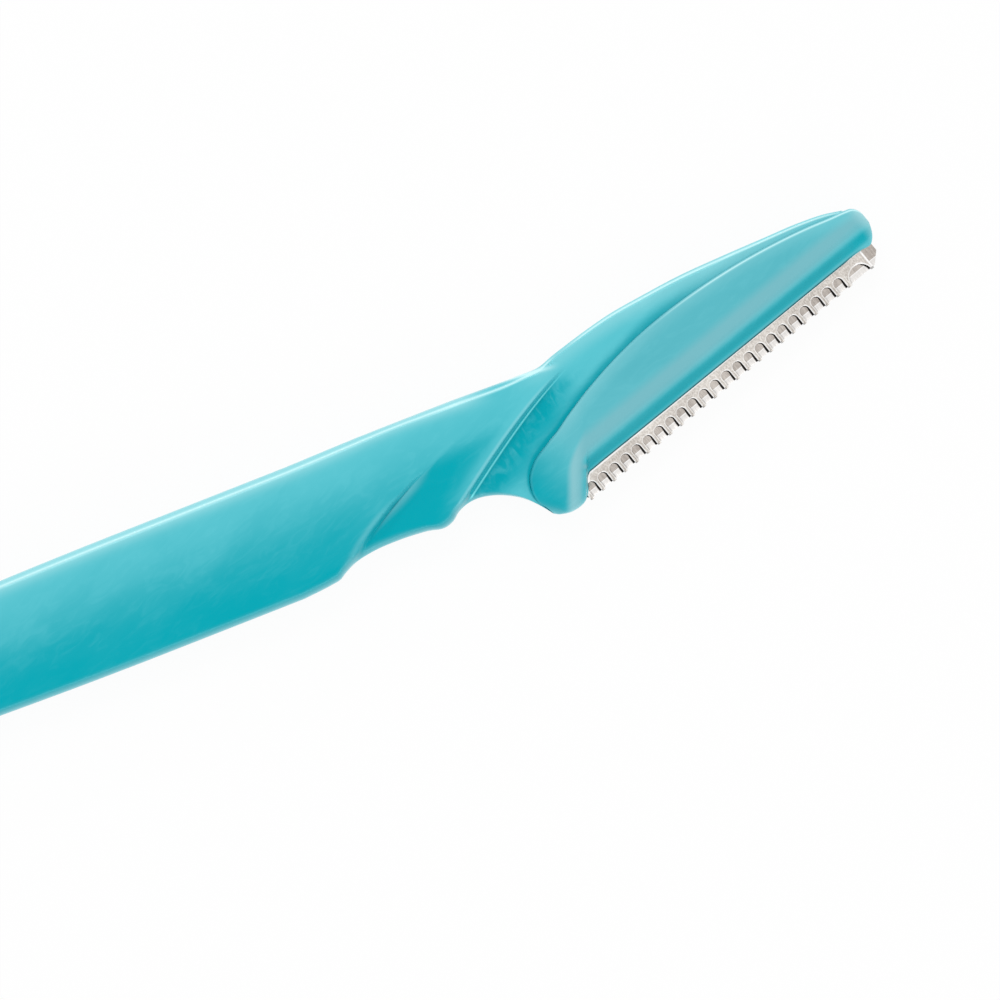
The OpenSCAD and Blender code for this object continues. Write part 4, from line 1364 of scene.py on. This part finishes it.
class RazorColours(bpy.types.PropertyGroup):
    """Colours of the razor, as linear values"""
    # Mixed by the tone mask, which adds painted shade and painted highlights to the plastic's own depth
    deep: colour("Plastic in its depths", "Colour of the thin and low parts", (0.0, 0.39, 0.47))
    light: colour("Plastic on top", "Colour of the raised parts", (0.11, 0.57, 0.65))
    # Painted highlight: pale colour painted on the rounded edges and on the second ridge's crest
    edge: colour("Plastic edges", "Colour along the worn edges", (0.26, 0.66, 0.73))
    # Painted shade: colour painted in the creases, along the seam and above the metal
    painted_shade: colour("Plastic creases", "Colour in the creases and over the metal", (0.01, 0.09, 0.11))
    # Painted reflection: pale grey painted on the crests, swellings, lower rims and rounded ends
    painted_reflection: colour("Frosted plastic", "Colour of the crest and the soft swellings", (0.21, 0.50, 0.56))
    # Sheen also paints the highlight on the thin lip by the second ridge
    sheen: colour("Plastic sheen", "Tint of reflections, and the lip by the second ridge", (0.25, 0.95, 1.0))
    # Painted highlight: colour of the painted highlight lines and glows on the plastic
    painted_highlight: colour("Plastic gleam", "Colour of the polished lines and glows", (0.60, 0.95, 0.98))
    guard_dark: colour("Guard grain", "Darker tone of the guard's grain", (0.46, 0.42, 0.38))
    guard_bright: colour("Guard face", "Brighter tone of the guard", (0.88, 0.84, 0.79))
    # Painted highlight: the windows' rims and the bevel's top line, and the bevel's brightness, partly its
    # ground finish
    rim: colour("Bright steel", "Colour of the bevel and the windows' rims", (0.95, 0.94, 0.93))
    # Painted shade: colour painted in the corners under the guard and beside its windows
    painted_steel_shade: colour("Steel in the corners", "Colour in the corners under the guard", (0.008, 0.007, 0.006))
    blade_dark: colour("Blade grain", "Darker tone of the blade", (0.37, 0.33, 0.30))
    blade_bright: colour("Blade face", "Brighter tone of the blade", (0.68, 0.63, 0.58))
    ground: colour("Floor", "Colour of the floor", (0.92, 0.92, 0.92))


def soft_light(name, azimuth, elevation, distance, width, height, radiance):
    """Soft box aimed at the head, by its angles in degrees and its brightness over white."""
    data = bpy.data.lights.new(name, "AREA")
    data.shape = "RECTANGLE"
    data.size = width * MM
    data.size_y = height * MM
    data.energy = radiance * math.pi * data.size * data.size_y
    lamp = bpy.data.objects.new(name, data)
    bpy.context.collection.objects.link(lamp)
    turn, rise_angle = math.radians(azimuth), math.radians(elevation)
    way = Vector((math.cos(turn) * math.cos(rise_angle), math.sin(turn) * math.cos(rise_angle),
                  math.sin(rise_angle)))
    aim = Vector((head_x() + shape().head_l / 4, 0, 0)) * MM
    lamp.location = aim + way * distance * MM
    lamp.rotation_mode = "QUATERNION"
    lamp.rotation_quaternion = way.to_track_quat("Z", "Y")
    return lamp


def white_for_mirrors(tree):
    """1 on rays from the camera, from shiny surfaces and through clear ones."""
    path = tree.nodes.new("ShaderNodeLightPath")
    camera, glossy, clear = (Value(tree, path.outputs["Is %s Ray" % kind])
                             for kind in ("Camera", "Glossy", "Transmission"))
    return camera.larger(glossy).larger(clear)


def pale_floor(colour_given):
    """Floor that looks plain white to the camera and in reflections."""
    bm = bmesh.new()
    bmesh.ops.create_grid(bm, x_segments=1, y_segments=1, size=1.0)
    floor = new_piece("Floor", bm)
    material, tree, surface = new_material("Pale floor")
    fill_inputs(surface, Base_Color=colour_given, Roughness=0.9)
    glow = node(tree, "ShaderNodeEmission", in_Color=(1, 1, 1), in_Strength=1.0)
    blend = tree.nodes.new("ShaderNodeMixShader")
    fill(blend.inputs[0], white_for_mirrors(tree) * FLOOR_WHITE)
    for shader, into in ((surface, blend.inputs[1]), (glow, blend.inputs[2]),
                         (blend, tree.nodes["Material Output"].inputs["Surface"])):
        tree.links.new(shader.outputs[0], into)
    floor.data.materials.append(material)
    return floor


def white_background():
    """World that looks plain white and lights the razor more softly."""
    world = bpy.data.worlds.new("White studio")
    world.use_nodes = True
    tree = world.node_tree
    strength = white_for_mirrors(tree).mapped(0.0, 1.0, BACKGROUND_LIGHT, 1.0)
    fill_inputs(tree.nodes["Background"], Color=(1, 1, 1), Strength=strength)
    return world


def photo_camera():
    """Camera straight above the razor, turned as the photo's was."""
    data = bpy.data.cameras.new("Photo camera")
    data.lens = LENS
    data.sensor_width = SENSOR_WIDTH
    data.clip_start, data.clip_end = VIEW_REACH
    camera = bpy.data.objects.new("Photo camera", data)
    bpy.context.collection.objects.link(camera)
    along = Vector(VIEW_ALONG).normalized()
    up = Vector((-along.y, along.x, 0))
    away = VIEW_WIDTH * LENS / SENSOR_WIDTH
    turned = Matrix((along, up, Vector((0, 0, 1)))).transposed().to_4x4()
    camera.matrix_world = Matrix.Translation(Vector((*VIEW_CENTRE, mid_z() + away)) * MM) @ turned
    return camera


class RAZOR_OT_handle(bpy.types.Operator):
    """Model and finish the handle"""
    bl_idname = "razor.handle"
    bl_label = "Handle"

    def execute(self, context):
        tones = context.scene.razor_colours
        piece = both_faces("razor_handle", *handle_grid())
        material = plastic("Handle plastic", tones, roughness=0.17, specular=0.22, with_ridge_light=True)
        dress(piece, material, "handle_plastic", "handle")
        return {"FINISHED"}


class RAZOR_OT_covers(bpy.types.Operator):
    """Model and finish the two head covers"""
    bl_idname = "razor.covers"
    bl_label = "Head covers"

    def execute(self, context):
        tones = context.scene.razor_colours
        material = plastic("Cover plastic", tones, roughness=0.34, specular=0.18)
        for name, node_name, side in (("front_cover", "front_head_cover", 1),
                                      ("back_cover", "back_head_cover", -1)):
            dress(cover(name, side), material, "cover_plastic", node_name)
        return {"FINISHED"}


class RAZOR_OT_metal(bpy.types.Operator):
    """Model and finish the blade and its guard"""
    bl_idname = "razor.metal"
    bl_label = "Blade and guard"

    def execute(self, context):
        tones = context.scene.razor_colours
        blade = metal_piece("blade_strip", "blade", bevel_w=0.01)
        dress(blade, blade_finish(tones), "blade_steel", "blade")
        guard = metal_piece("guard_sheet", "blade_guard", bevel_w=0.02)
        dress(guard, guard_finish(tones), "guard_steel", "blade_guard")
        return {"FINISHED"}


class RAZOR_OT_surfaces(bpy.types.Operator):
    """Make the shared surface effects"""
    bl_idname = "razor.surfaces"
    bl_label = "Surface effects"

    def execute(self, context):
        moulding_group()
        painted_ridge_light_group()
        metal_group()
        window_group()
        return {"FINISHED"}


class RAZOR_OT_stage(bpy.types.Operator):
    """Set the floor, lights, background and camera"""
    bl_idname = "razor.stage"
    bl_label = "Stage"

    def execute(self, context):
        scene = context.scene
        floor = pale_floor(scene.razor_colours.ground)
        scene.world = white_background()
        for light in LIGHTS:
            soft_light(*light)
        scene.camera = photo_camera()
        scene.view_settings.view_transform = "Standard"
        return {"FINISHED"}


OPERATORS = (RAZOR_OT_surfaces, RAZOR_OT_handle, RAZOR_OT_covers, RAZOR_OT_metal, RAZOR_OT_stage)


class RAZOR_PT_panel(bpy.types.Panel):
    """Buttons for every step of the razor"""
    bl_idname = "RAZOR_PT_panel"
    bl_label = "Eyebrow Razor"
    bl_space_type = "VIEW_3D"
    bl_region_type = "UI"
    bl_category = "Razor"

    def draw(self, context):
        for operator in OPERATORS:
            self.layout.operator(operator.bl_idname)
        for key in RazorShape.__annotations__:
            self.layout.prop(context.scene.razor_shape, key)
        for key in RazorColours.__annotations__:
            self.layout.prop(context.scene.razor_colours, key)


CLASSES = (RazorShape, RazorColours, *OPERATORS, RAZOR_PT_panel)


def register():
    for cls in CLASSES:
        bpy.utils.register_class(cls)
    bpy.types.Scene.razor_shape = bpy.props.PointerProperty(type=RazorShape)
    bpy.types.Scene.razor_colours = bpy.props.PointerProperty(type=RazorColours)


def unregister():
    del bpy.types.Scene.razor_colours
    del bpy.types.Scene.razor_shape
    for cls in reversed(CLASSES):
        bpy.utils.unregister_class(cls)


def main():
    """Build every piece."""
    register()
    bpy.ops.razor.surfaces()
    bpy.ops.razor.handle()
    bpy.ops.razor.covers()
    bpy.ops.razor.metal()
    bpy.ops.razor.stage()


if __name__ == "__main__":
    main()
